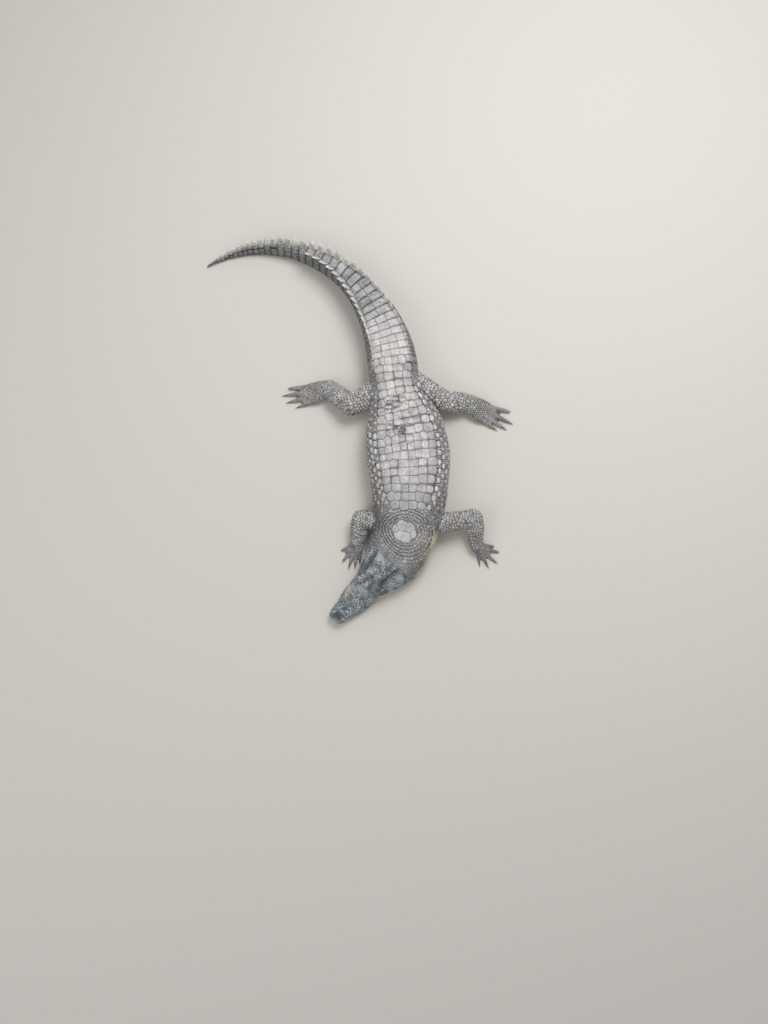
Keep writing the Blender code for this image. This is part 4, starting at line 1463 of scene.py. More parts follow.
class Skin:
    """The one skin of the whole animal, just inside its true outline."""

    def __init__(self, animal: Animal, voxel: float = 0.0024) -> None:
        """Builds the skin.

        Args:
            animal: the forms that it follows.
            voxel: size of its mesh before the finer parts are divided.
        """
        self.animal = animal
        data = self.joined(voxel)
        data = self.finer(data)
        points, corners, sizes = read_mesh(data)
        edges = read(data.edges, "vertices", 2)
        normals = point_normals(points, corners, sizes)
        p = Places.of(animal, points, normals)
        points = self.eased(p, edges, points)
        normals = point_normals(points, corners, sizes)
        points = points - normals * self.coat_depth(p)[:, None]
        p = Places.of(animal, points, normals)
        relief = Relief(animal)
        self.ridges = relief.ridges(p)
        points = points + normals * relief.heights(p, self.ridges)[:, None]
        points = self.socketed(points)
        points[:, 2] = np.maximum(points[:, 2], 0.0004)
        self.points = inside_box(points)
        self.corners, self.sizes = corners, sizes
        self.normals = point_normals(self.points, corners, sizes)
        self.places = Places.of(animal, self.points, self.normals)
        self.spots = Unwrap(animal).spots(self.places, corners, sizes)
        starts = first_corners(sizes)
        self.face_normals = unit(np.add.reduceat(self.normals[corners], starts, axis=0))
        self.face_spots = np.add.reduceat(self.spots, starts, axis=0) / sizes[:, None]
        faces = [row.tolist() for row in np.split(corners, starts[1:])]
        self.tree = BVHTree.FromPolygons(self.points.tolist(), faces)

    def joined(self, voxel: float) -> bpy.types.Mesh:
        """One closed mesh round every form of flesh.

        Args:
            voxel: the size of the cells that the forms are joined by.

        Returns:
            The mesh.
        """
        points, faces = Shell.together(self.animal.shells())
        data = bpy.data.meshes.new("step")
        data.from_pydata(points.tolist(), [], faces)
        step = linked("step", data)
        remesh = step.modifiers.new("remesh", "REMESH")
        remesh.mode = "VOXEL"
        remesh.voxel_size = voxel
        graph = bpy.context.evaluated_depsgraph_get()
        made = bpy.data.meshes.new_from_object(step.evaluated_get(graph))
        bpy.data.objects.remove(step)
        return made

    def finer(self, data: bpy.types.Mesh) -> bpy.types.Mesh:
        """Divides the faces of the head, nape, hands and feet once more.

        Args:
            data: the mesh.

        Returns:
            The same mesh.
        """
        points, corners, sizes = read_mesh(data)
        p = Places.of(self.animal, points, point_normals(points, corners, sizes))
        reach = self.animal.leg_lengths
        on_foot = (p.limb >= 0) & (p.down > reach[p.limb] + 0.01) & (p.facing > -0.5)
        chosen = on_foot | (p.within(0.0, 0.47) & (p.up > 0.006))
        mesh = bmesh.new()
        mesh.from_mesh(data)
        mesh.verts.ensure_lookup_table()
        edges = [e for e in mesh.edges if chosen[e.verts[0].index] and chosen[e.verts[1].index]]
        bmesh.ops.subdivide_edges(mesh, edges=edges, cuts=1, use_grid_fill=True)
        mesh.to_mesh(data)
        mesh.free()
        return data

    def eased(self, p: Places, edges: Array, points: Array) -> Array:
        """Blends the joints of the forms, more on the trunk and legs than on the digits.

        Args:
            p: the places of the points.
            edges: the two ends of each edge.
            points: the points.

        Returns:
            The moved points.
        """
        on_foot = (p.limb >= 0) & (p.down > self.animal.leg_lengths[p.limb] + 0.02)
        fine = on_foot | p.within(0.0, 0.30) | p.within(1.75, math.inf)
        moved = relax(points, edges, 0.5 * np.where(fine, 0.25, 1.0), 6)
        moved = smoothed(moved, edges, np.where(fine, 0.35, 1.0), 12)
        shoulder = np.zeros(len(points))
        for limb in self.animal.limbs:
            root = limb.main[0].start
            shoulder = np.maximum(shoulder, ramp(np.linalg.norm(points - root, axis=1), 0.12, 0.06))
        return relax(moved, edges, 0.6 * shoulder, 14)

    def coat_depth(self, p: Places) -> Array:
        """How far the skin lies inside the outline, to leave room for its scales.

        Args:
            p: the places.

        Returns:
            A depth for each place.
        """
        depth = np.where(p.s < 0.30, 0.0004, 0.0012)
        depth = np.where(p.s > 1.5, np.minimum(0.0012, 0.09 * self.animal.body.half_width(p.s)), depth)
        return np.where((p.limb >= 0) & (p.up < 0.03), 0.0005, np.where(p.limb >= 0, 0.0009, depth))

    def socketed(self, points: Array) -> Array:
        """Draws the skin in behind each eyeball, so that the lids close round it.

        Args:
            points: the points.

        Returns:
            The moved points.
        """
        moved = points.copy()
        for eye in Eye.pair(self.animal):
            rel = moved - eye.centre
            away = np.linalg.norm(rel, axis=1)
            ahead = (rel @ eye.gaze) / np.maximum(away, 1e-9)
            floor = eye.radius * (1.14 - 0.28 * ramp(ahead, 0.42, 0.58))
            near = ramp(away, eye.radius * 2.30, eye.radius * 1.55)
            pull = near * ramp(ahead, -0.15, 0.36) * np.clip(away - floor, 0, None)
            moved -= rel / np.maximum(away, 1e-9)[:, None] * pull[:, None]
        return moved

    def nearest(self, points: Array) -> tuple[Array, Array, Array]:
        """The nearest places on the skin: points, face numbers and distances.

        Args:
            points: the points.

        Returns:
            The three measures of each point.
        """
        found = np.zeros((len(points), 3))
        faces = np.zeros(len(points), np.int64)
        away = np.zeros(len(points))
        for i, point in enumerate(points):
            spot, _, face, gap = self.tree.find_nearest(point)
            found[i], faces[i], away[i] = spot, face, gap
        return found, faces, away

    def build(self, marks: Markings) -> bpy.types.Object:
        """Makes the piece, with its markings.

        Args:
            marks: the markings.

        Returns:
            The object.
        """
        values = marks.all(self.places, self.animal)
        p = self.places
        on_head = ramp(p.s, 0.318, 0.298) * (p.limb < 0)
        on_neck = ramp(p.s, 0.51, 0.46) * (p.limb < 0)
        plated = ramp(p.s, 0.47, 0.50) * ramp(p.facing, 0.75, 0.95) * (p.limb < 0)
        # painted shade: off the head the skin between the scales gets a low rise and so the dark groove
        # colour, less of it on legs, neck, pale skin and the top of the back
        painted_gap_shade = 0.10 + 0.13 * (p.limb >= 0) + 0.16 * on_neck + 0.40 * values["pale"] + 0.12 * plated
        # painted highlight on the right-rear corner of the skull table
        corner = 0.50 * bump(np.hypot(p.s - 0.281, p.off + 0.034), 0.017) * ramp(p.up, 0.100, 0.106)
        front = 0.06 * ramp(p.s, 0.20, 0.16)
        speckle = 0.11 * grain(p.points, 0.0036, 13) + 0.16 * grain(p.points, 0.0085, 14)
        broken = ramp(grain(p.points, 0.0130, 16), -0.34, 0.10)
        swirl = 0.20 * grain(p.points, 0.0240, 18)
        carved = 0.57 + front + 0.50 * self.ridges * broken + corner + speckle + swirl
        carved = np.clip(carved, 0.0, 1.0)
        # the painted shade from shade() lowers the rise and so darkens the skin colour there
        values["rise"] = (on_head * carved + (1 - on_head) * painted_gap_shade) * (1 - self.shade(p))
        values["tone"] = 0.5 + 0.3 * grain(p.points, 0.02, 12)
        return Cloth(self.points, self.corners, self.sizes, values, self.spots).object("skin")

    def shade(self, p: Places) -> Array:
        """Painted shade on the head: in the nostril openings, along the line of the mouth, in the ear slits
        and just behind the skull table, with a darker disc round the nostrils.

        Args:
            p: the places.

        Returns:
            A share for each place, 1 where the painted shade is darkest.
        """
        form = self.animal.head
        side = np.abs(p.off)
        ring_s, ring_off, ring_size = form.nostril_ring
        around = np.hypot(p.s - ring_s, side - ring_off)
        # painted shade in the nostril openings; the disc round them is darker too
        dark = 0.9 * bump(around - ring_size, 0.0022) * ramp(side, 0.0115, 0.0086)
        disc = 0.36 * ramp(np.hypot(p.s - form.nostril_disc, p.off), 0.0175, 0.0125)
        dark = np.maximum(dark, disc) * ramp(p.up, 0.040, 0.044)
        table = form.table_edge(p.s)
        # painted shade in the ear slits beside the skull table
        slit = bump(side - table - 0.0042, 0.0088) * ramp(p.up, 0.084, 0.092)
        slit = slit * ramp(p.s, 0.198, 0.216) * ramp(p.s, 0.298, 0.284)
        # painted shade on the neck just behind the raised skull table
        behind = bump(p.s - 0.299, 0.011) * ramp(side, 0.060, 0.046) * ramp(p.up, 0.07, 0.09)
        mouth_line_shade = bump(p.up - form.lip(p.s) - 0.0004, 0.0012) * ramp(p.s, 0.262, 0.252)
        shaded = np.maximum.reduce([dark, 0.50 * slit, 0.26 * behind, 0.7 * mouth_line_shade])
        return np.where(p.within(0.0, 0.32), shaded, 0.0)


# --- scales --------------------------------------------------------------------------------
@dataclass(frozen=True)
class Cut:
    """How one kind of scale is shaped.

    high is its height, flat runs from 0 for a dome to 1 for a plate, keel is the height of
    the ridge along it, square from 2 for an oval upwards, bright is added to its share of
    bleaching, and seam tells how far its walls keep their own colour against the painted
    shade of the grooves.
    """

    high: float
    flat: float
    keel: float
    square: float
    bright: float
    gap: float = 0.0009
    fine: bool = False
    seam: float = 0.0


class Kind(Enum):
    """The kinds of scale."""

    BACK = Cut(0.0018, 0.94, 0.0012, 7.0, 0.06, 0.0006, True, 0.20)
    RIDGED = Cut(0.0024, 0.60, 0.0032, 3.2, 0.10, 0.0012, True, 0.12)
    TAIL_TOP = Cut(0.0018, 0.94, 0.0007, 9.0, 0.10, 0.0012, True, 0.14)
    NAPE = Cut(0.0012, 0.88, 0.0008, 4.5, 0.34, 0.0001, True, 0.50)
    OVAL = Cut(0.0022, 0.25, 0.0014, 2.3, 0.46, 0.0004, True, 0.22)
    GRANULE = Cut(0.0013, 0.10, 0.0, 2.2, 0.02)
    BEAD = Cut(0.0018, 0.20, 0.0, 3.4, 0.12, 0.0012)
    NAPE_OVAL = Cut(0.0020, 0.25, 0.0014, 2.3, 0.40, 0.0008)
    BELLY = Cut(0.0011, 0.95, 0.0, 8.0, 0.20)
    TAIL_SIDE = Cut(0.0013, 0.75, 0.0002, 6.2, 0.04)
    LEG = Cut(0.0019, 0.30, 0.0005, 2.8, 0.12, 0.0014)
    TUBERCLE = Cut(0.0020, 0.20, 0.0026, 2.3, 0.62)
    DIGIT = Cut(0.0009, 0.55, 0.0001, 4.5, 0.08, 0.0010)
    JAW = Cut(0.0007, 0.80, 0.0, 5.0, 0.10)


KINDS = list(Kind)


@dataclass
class Seeds:
    """Roots of scales: place, way out, lie, half length, half width, kind and leg."""

    points: Array
    outs: Array
    lies: Array
    along: Array
    across: Array
    kinds: Array
    limbs: Array

    @classmethod
    def joined(cls, parts: Sequence["Seeds"]) -> "Seeds":
        """Several sets as one, in the same order."""
        return cls(*(np.concatenate(values) for values in zip(*(vars(part).values() for part in parts))))

    def chosen(self, index: Array) -> "Seeds":
        """Only some of them."""
        return Seeds(*(value[index] for value in vars(self).values()))

    def cut(self, name: str, chosen: Array | None = None) -> Array:
        """One measure of the cut of each scale, or of each chosen one, as a column."""
        kinds = self.kinds if chosen is None else self.kinds[chosen]
        return np.array([getattr(kind.value, name) for kind in KINDS])[kinds][:, None]


@dataclass
class Planter:
    """Sets out the roots of every scale in the rows that the animal has.

    A pair of sizes for the legs is for a foreleg and for a hind leg. Each row of oval_lines
    is how far outside the plates a line of ovals runs and their half length; of shield_plates
    how far behind the shield's middle, how far off it, half length and half width; and of
    nape_ovals the distance along, the distances off the middle and half length.
    """

    animal: Animal
    crest: CrestLine
    plate_zone: Rows = Rows(
        (
            (0.47, 0.044), (0.53, 0.078), (0.60, 0.098), (0.72, 0.104), (0.84, 0.086), (0.93, 0.064),
            (1.03, 0.074),
        )
    )
    plate_wide: float = 0.0290
    oval_lines: tuple[tuple[float, float], ...] = (
        (0.0130, 0.0094), (0.0335, 0.0088), (0.0525, 0.0074), (0.0690, 0.0062), (0.0830, 0.0056),
    )
    tip_pitch: float = 0.0136
    tail_plate: Rows = Rows(((1.03, 0.0300), (1.16, 0.0380), (1.26, 0.0480), (1.60, 0.0480)))
    shield_plates: tuple[tuple[float, float, float, float], ...] = (
        (-0.0170, 0.0135, 0.0185, 0.0155), (0.0170, 0.0130, 0.0180, 0.0150),
        (0.0000, 0.0340, 0.0200, 0.0098),
    )
    nape_ovals: tuple[tuple[float, tuple[float, ...], float], ...] = (
        (0.323, (0.046, 0.016), 0.0072), (0.342, (0.062, 0.031, 0.0), 0.0058), (0.357, (0.100,), 0.0058),
        (0.380, (0.052, 0.085), 0.0060), (0.412, (0.060, 0.090), 0.0060), (0.441, (0.048, 0.080), 0.0060),
        (0.456, (0.022, 0.066), 0.0058), (0.472, (0.095, 0.060), 0.0062),
    )
    bead_rings: int = 6
    bead_apart: float = 0.0118
    granule_row: float = 0.0063
    granule_apart: float = 0.0066
    belly_row: float = 0.0144
    belly_apart: float = 0.0125
    belly_reach: tuple[float, float] = (0.085, 0.112)
    thigh_scale: tuple[float, float] = (0.0106, 0.0120)
    shank_scale: tuple[float, float] = (0.0094, 0.0108)
    palm_scale: float = 0.0074
    digit_scale: float = 0.0062
    knob_apart: tuple[float, float] = (0.018, 0.0125)
    jaw_row: float = 0.0098

    def __post_init__(self) -> None:
        """Starts with no roots and a fixed run of random numbers."""
        self.rng = np.random.default_rng(5)
        self.parts: list[Seeds] = []

    def plant(
        self, points: Array, axis: Array, lies: Array, size: tuple[Array | float, Array | float],
        kind: Kind, limb: int = -1,
    ) -> None:
        """Keeps some roots.

        Args:
            points: their places.
            axis: the line inside the body that they point away from.
            lies: the way that the length of each scale runs.
            size: half lengths and half widths.
            kind: their kind.
            limb: number of the leg that they are on.
        """
        count = len(points)
        if count:
            along, across = (np.broadcast_to(np.asarray(v, float), count) for v in size)
            lies = np.broadcast_to(lies, points.shape)
            kinds, limbs = np.full(count, KINDS.index(kind)), np.full(count, limb)
            self.parts.append(Seeds(points, unit(points - axis), lies, along, across, kinds, limbs))

    def row(
        self, s: float, arcs: Sequence[float], size: tuple[float, float], kind: Kind, loose: float = 0.0
    ) -> None:
        """Plants one row across the body.

        Args:
            s: distance along the animal.
            arcs: distances over the skin from the middle of the back, + to the left.
            size: half length and half width of the scales.
            kind: their kind.
            loose: how far from its true place each may stand.
        """
        arcs = np.asarray(arcs, float)
        shake = self.rng.normal(0.0, 1.0, (2, len(arcs))) * loose
        grow = 1 + self.rng.normal(0.0, 1.0, len(arcs)) * min(0.12, loose * 90)
        line = s + shake[0]
        back = self.animal.spine.back(line)
        points = self.animal.body.on_side(s, arcs + shake[1]) + back * shake[0][:, None]
        axis = self.animal.spine.place(line, 0.0, float(self.animal.body.widest(s)))
        self.plant(points, axis, back, (size[0] * grow, size[1] * grow), kind)

    def half_girth(self, s: float) -> float:
        """The distance over the skin from the middle of the back to the middle of the belly."""
        return float(self.animal.body.side_line(s, 1)[1][-1])

    def back(self, pitch: float = 0.0290, start: float = 0.487, end: float = 1.034) -> None:
        """Cross rows of squarish plates on the trunk, and lines of pale ovals outside them.

        Args:
            pitch: how long a row is.
            start: where the first row begins.
            end: where the last row ends.
        """
        count = round((end - start) / pitch)
        pitch = (end - start) / count
        for s in start + pitch * (np.arange(count) + 0.5):
            zone = float(self.plate_zone(s))
            columns = max(4, 2 * round(zone / self.plate_wide))
            width = 2 * zone / columns
            arcs = (np.arange(columns) - (columns - 1) / 2) * width
            inner = np.abs(arcs) < zone - 1.5 * width
            self.row(s, arcs[inner], (pitch / 2, width / 2), Kind.BACK, 0.0020)
            self.row(s, arcs[~inner], (pitch / 2, width / 2), Kind.RIDGED, 0.0021)
            for number, (gap, size) in enumerate(self.oval_lines):
                if s < 0.92 and (number < 2 or 0.50 < s < 0.88):
                    middle = s + 0.5 * pitch * (number % 2)
                    arcs = [zone + gap, -zone - gap]
                    self.row(middle, arcs, (size, size * 0.76), Kind.OVAL, 0.0014)

    def tail(self) -> None:
        """Flat plates between the rows of the crest, and oblong scales down both sides."""
        rows = self.crest.rows()
        first = (2 * rows[0][0] - rows[1][0], rows[0][1])
        end = self.animal.spine.length - 0.006
        last = [(s, self.tip_pitch) for s in np.arange(rows[-1][0] + 0.0140, end, self.tip_pitch)]
        for number, (s, pitch) in enumerate([first, *rows, *last]):
            double = number <= self.crest.double
            apart = float(self.crest.apart(s)) if double else 0.0
            if double and number:
                columns = max(1, round(2 * apart / float(self.tail_plate(s))))
                width = 2 * apart / columns
                arcs = (np.arange(columns) - (columns - 1) / 2) * width
                self.row(s, arcs, (pitch / 2, width / 2), Kind.TAIL_TOP, 0.0004)
            girth = self.half_girth(s)
            top = apart + 0.004 if double else 0.0025
            tall = float(np.clip(0.0135 - (s - 1.5) * 0.020, 0.0055, 0.0135))
            count = max(2, round((girth - top) / tall))
            tall = (girth - top) / count
            halves = 2 if number and s < 1.12 else 1
            for side in (-1, 1):
                for part in range(halves):
                    arcs = side * (top + tall * (np.arange(count) + 0.5 + 0.25 * part))
                    line = s + pitch * ((part + 0.5) / halves - 0.5)
                    self.row(line, arcs, (pitch / 2 / halves, tall / 2), Kind.TAIL_SIDE, 0.0004)

    def nape(self) -> None:
        """The shield of the nape, the ovals round it and the beads that ring it."""
        relief = Relief(self.animal)
        at = relief.shield_at
        for gap, arc, long, wide in self.shield_plates:
            self.row(at + gap, [arc, -arc], (long, wide), Kind.NAPE, 0.0006)
        for s, arcs, size in self.nape_ovals:
            both = sorted({*arcs, *(-arc for arc in arcs)})
            self.row(s, both, (size, size * 0.92), Kind.NAPE_OVAL, 0.0018)
        body, spine = self.animal.body, self.animal.spine
        centre = body.on_side(at, np.zeros(1))[0]
        for ring in range(self.bead_rings):
            share = 1 + (ring + 0.5) * relief.fold_apart / relief.shield_long
            long, wide = relief.shield_long * share, relief.shield_wide * share
            count = round(girth_of(long, wide) / self.bead_apart)
            for turn in round_turns(count, 0.5 * (ring % 2)):
                s = at + long * math.cos(turn) + self.rng.normal(0.0, 0.0011)
                if 0.304 < s < 0.486:
                    point = body.on_side(s, np.array([wide * math.sin(turn)]))
                    axis = spine.place(s, 0.0, float(body.widest(s)))
                    size = (0.0050, 0.0062 * (1 + self.rng.normal(0.0, 0.12)))
                    self.plant(point, axis, unit(point - centre), size, Kind.BEAD)

    def skin_rows(self) -> None:
        """Granules on the flanks and neck, and smooth oblong scales on the belly."""
        for number, s in enumerate(np.arange(0.304, 1.030, self.granule_row)):
            inner = float(self.plate_zone(s)) if s > 0.50 else 0.0
            edge = self.half_girth(s) - self.belly_reach[int(s > 0.5)]
            arcs = np.arange(inner + 0.004, edge, self.granule_apart) + (number % 2) * self.granule_apart / 2
            for side in (-1, 1):
                self.row(s, side * arcs, (0.0034, 0.0034), Kind.GRANULE, 0.0007)
        for s in np.arange(0.306, 1.016, self.belly_row):
            reach = self.belly_reach[int(s > 0.5)]
            count = round(reach / self.belly_apart)
            arcs = self.half_girth(s) - (np.arange(count) + 0.5) * reach / count
            for side in (-1, 1):
                self.row(s, side * arcs, (0.0072, 0.0062), Kind.BELLY, 0.0003)

    def on_run(self, run: Run, limb: int, size: float, kind: Kind, start: float, past: float) -> None:
        """Rings of scales round a length of limb.

        Args:
            run: the length of limb.
            limb: number of the leg.
            size: from one scale to the next.
            kind: their kind.
            start: where the rings begin, as a distance along the run.
            past: how far beyond its end they go.
        """
        for number, gone in enumerate(np.arange(start, run.length + past, size * 0.94)):
            share = np.clip(gone / run.length, 0, 1)
            wide, tall = float(run.half_width(share)), float(run.half_depth(share))
            over = gone - np.clip(gone, 0.0, run.length)
            shrink = math.sqrt(max(0.05, 1 - (over / wide) ** 2))
            count = max(5, round(girth_of(wide, tall) * shrink / size))
            turns = round_turns(count, 0.5 * (number % 2))
            points = run.ring(gone, turns, shrink)
            points = points + run.along * self.rng.normal(0.0, size * 0.17, count)[:, None]
            half = size * 0.53 * (1 + self.rng.normal(0.0, 0.20, count))
            self.plant(points, run.start + run.along * gone, run.along, (half, half), kind, limb)

    def legs(self) -> None:
        """Rows of scales on the legs, hands and feet, with pale knobs behind the hind shanks."""
        for index, form in enumerate(self.animal.limbs):
            hind = form.webbed
            thigh, shank = form.main
            back = unit(self.animal.spine.back(np.array([0.9]))[0]) - UP * 0.25
            out = unit(back - shank.along * (back @ shank.along))
            gone = np.arange(0.012, shank.length, self.knob_apart[hind])
            centres = shank.start + shank.along * gone[:, None]
            edge = centres + out * shank.half_width(gone / shank.length)[:, None]
            kind = Kind.TUBERCLE if hind else Kind.NAPE_OVAL
            self.plant(edge, centres, shank.along, (0.0060, 0.0040), kind, index)
            for digit in form.digits:
                self.on_run(digit, index, self.digit_scale, Kind.DIGIT, 0.0, 0.0)
            self.on_run(thigh, index, self.thigh_scale[hind], Kind.LEG, -0.02, 0.03)
            self.on_run(shank, index, self.shank_scale[hind], Kind.LEG, -0.015, 0.012)
            self.on_run(form.palm, index, self.palm_scale, Kind.LEG, -0.01, 0.02)

    def jaws(self) -> None:
        """Rows of scales along the lips and over the sides and underside of the lower jaw."""
        head = self.animal.head
        spine = self.animal.spine
        for s in np.arange(0.010, 0.300, self.jaw_row):
            wide, lip, sway = (float(rows(s)) for rows in (head.half_width, head.lip, head.jaw_sway))
            for side in (-1, 1):
                spots = [(side * (wide - 0.001), lip + 0.0050)]
                for k in range(int(lip / 0.0092)):
                    spots.append((side * (wide - 0.002), max(0.004, lip - 0.006 - 0.0092 * k)))
                spots += [(side * x, 0.0) for x in np.arange(0.005, wide - 0.004, 0.0100)]
                points = np.array([spine.place(s, sway + x, z) for x, z in spots])
                axis = spine.place(s, sway, lip + 0.002)
                self.plant(points, axis, spine.back(np.array([s]))[0], (0.0050, 0.0047), Kind.JAW)

    def all(self) -> Seeds:
        """Every root, the large plates first.

        Returns:
            The roots of every kind.
        """
        self.back()
        self.tail()
        self.nape()
        self.legs()
        self.jaws()
        self.skin_rows()
        return Seeds.joined(self.parts)


@dataclass
class Bed:
    """Roots settled on the skin, each with its own flat and its neighbours."""

    seeds: Seeds
    normals: Array
    spots: Array
    places: Places

    @classmethod
    def settled(cls, seeds: Seeds, skin: Skin) -> "Bed":
        """Sets the roots on the skin and leaves out those that crowd or miss it.

        Args:
            seeds: the roots.
            skin: the skin that they go on.

        Returns:
            The bed.
        """
        points, faces, away = skin.nearest(seeds.points)
        normals = skin.face_normals[faces]
        good = (away < 0.0075) & ((normals * seeds.outs).sum(1) > 0.25)
        places = Places.of(skin.animal, points, normals)
        good &= (places.limb == seeds.limbs) | ((seeds.limbs >= 0) & (places.limb >= 0))
        for eye in Eye.pair(skin.animal):
            good &= np.linalg.norm(points - eye.centre, axis=1) > eye.radius * 1.5
        index = np.flatnonzero(cls.uncrowded(points, seeds, good))
        kept = seeds.chosen(index)
        kept.points = points[index]
        normals = normals[index]
        kept.lies = unit(kept.lies - normals * (kept.lies * normals).sum(1)[:, None])
        return cls(kept, normals, skin.face_spots[faces[index]], places.chosen(index))

    @staticmethod
    def tree(points: Array, chosen: Array) -> KDTree:
        """A tree of the chosen points.

        Args:
            points: the points.
            chosen: the numbers of the points that go into it.

        Returns:
            The tree.
        """
        tree = KDTree(len(points))
        for i in chosen:
            tree.insert(points[i], int(i))
        tree.balance()
        return tree

    @classmethod
    def uncrowded(cls, points: Array, seeds: Seeds, good: Array, close: float = 0.60) -> Array:
        """Marks the roots that keep clear of every root before them.

        Args:
            points: where the roots stand on the skin.
            seeds: the roots.
            good: which of them count at all.
            close: share of their sizes that two small scales keep between their roots.

        Returns:
            True for each root that is kept.
        """
        tree = cls.tree(points, np.flatnonzero(good))
        small = np.minimum(seeds.along, seeds.across)
        large = np.maximum(seeds.along, seeds.across)
        broad = large > 0.0085
        kept = good.copy()
        for i in np.flatnonzero(good & broad):
            if not kept[i]:
                continue
            lie = unit(seeds.lies[i] - seeds.outs[i] * (seeds.lies[i] @ seeds.outs[i]))
            side = np.cross(seeds.outs[i], lie)
            for _, j, _ in tree.find_range(points[i], float(large[i]) * 1.3 + 0.003):
                if j <= i or not kept[j]:
                    continue
                rel = points[j] - points[i]
                x = (rel @ lie) / (seeds.along[i] + 0.45 * seeds.along[j])
                y = (rel @ side) / (seeds.across[i] + 0.45 * seeds.across[j])
                if broad[j]:
                    x, y = x / 0.75, y / 0.75
                if x**4 + y**4 < 1:
                    kept[j] = False
        for i in np.flatnonzero(good & ~broad):
            if kept[i]:
                for _, j, gap in tree.find_range(points[i], close * (small[i] + 0.0085)):
                    if j > i and kept[j] and gap < close * (small[i] + small[j]):
                        kept[j] = False
        return kept

    def outlines(self, chosen: Array, angles: Array, near: int = 26) -> Array:
        """How far each chosen scale reaches in some directions before its neighbours do.

        Args:
            chosen: numbers of the scales.
            angles: directions for each of them, in radians from its lie.
            near: how many neighbours to look at.

        Returns:
            The reach of each scale in each direction.
        """
        seeds = self.seeds
        tree = self.tree(seeds.points, np.arange(len(seeds.points)))
        hits = np.array([[h[1] for h in tree.find_n(seeds.points[i], near + 1)] for i in chosen])
        along, across = seeds.along[chosen][:, None], seeds.across[chosen][:, None]
        lie, normal = seeds.lies[chosen][:, None], self.normals[chosen][:, None]
        rel = seeds.points[hits] - seeds.points[chosen][:, None]
        x, y = (rel * lie).sum(-1), (rel * np.cross(normal, lie)).sum(-1)
        away = np.hypot(x, y)
        real = (away > 1e-5) & ((self.normals[hits] * normal).sum(-1) > 0.15)
        square = seeds.cut("square", chosen)
        in_rows = (square > 6.0) & (seeds.cut("square", hits.ravel()).reshape(hits.shape) > 6.0)
        ahead = in_rows & (np.abs(x) / along > np.abs(y) / across)
        x, y = np.where(in_rows & ~ahead, 0.0, x), np.where(ahead, 0.0, y)
        away = np.hypot(x, y)
        ux, uy = x / np.maximum(away, 1e-9), y / np.maximum(away, 1e-9)
        mine = 1 / np.hypot(ux / along, uy / across)
        theirs = 1 / np.hypot(ux / seeds.along[hits], uy / seeds.across[hits])
        gap = seeds.cut("gap", chosen) * (0.15 + 0.85 * np.abs(ux))
        edge = away * mine / (mine + theirs) - gap / 2
        cos, sin = np.cos(angles), np.sin(angles)
        reach = np.full(angles.shape, np.inf)
        for k in range(hits.shape[1]):
            turn = ux[:, k, None] * cos + uy[:, k, None] * sin
            hit = edge[:, k, None] / np.maximum(turn, 1e-3)
            reach = np.where(real[:, k, None] & (turn > 0.02), np.minimum(reach, hit), reach)
        limit = (np.abs(cos / along) ** square + np.abs(sin / across) ** square) ** (-1 / square)
        spread = 1.10 + 0.26 * (square > 4.0)
        return np.clip(reach, 0.25 * np.minimum(along, across), spread * limit)


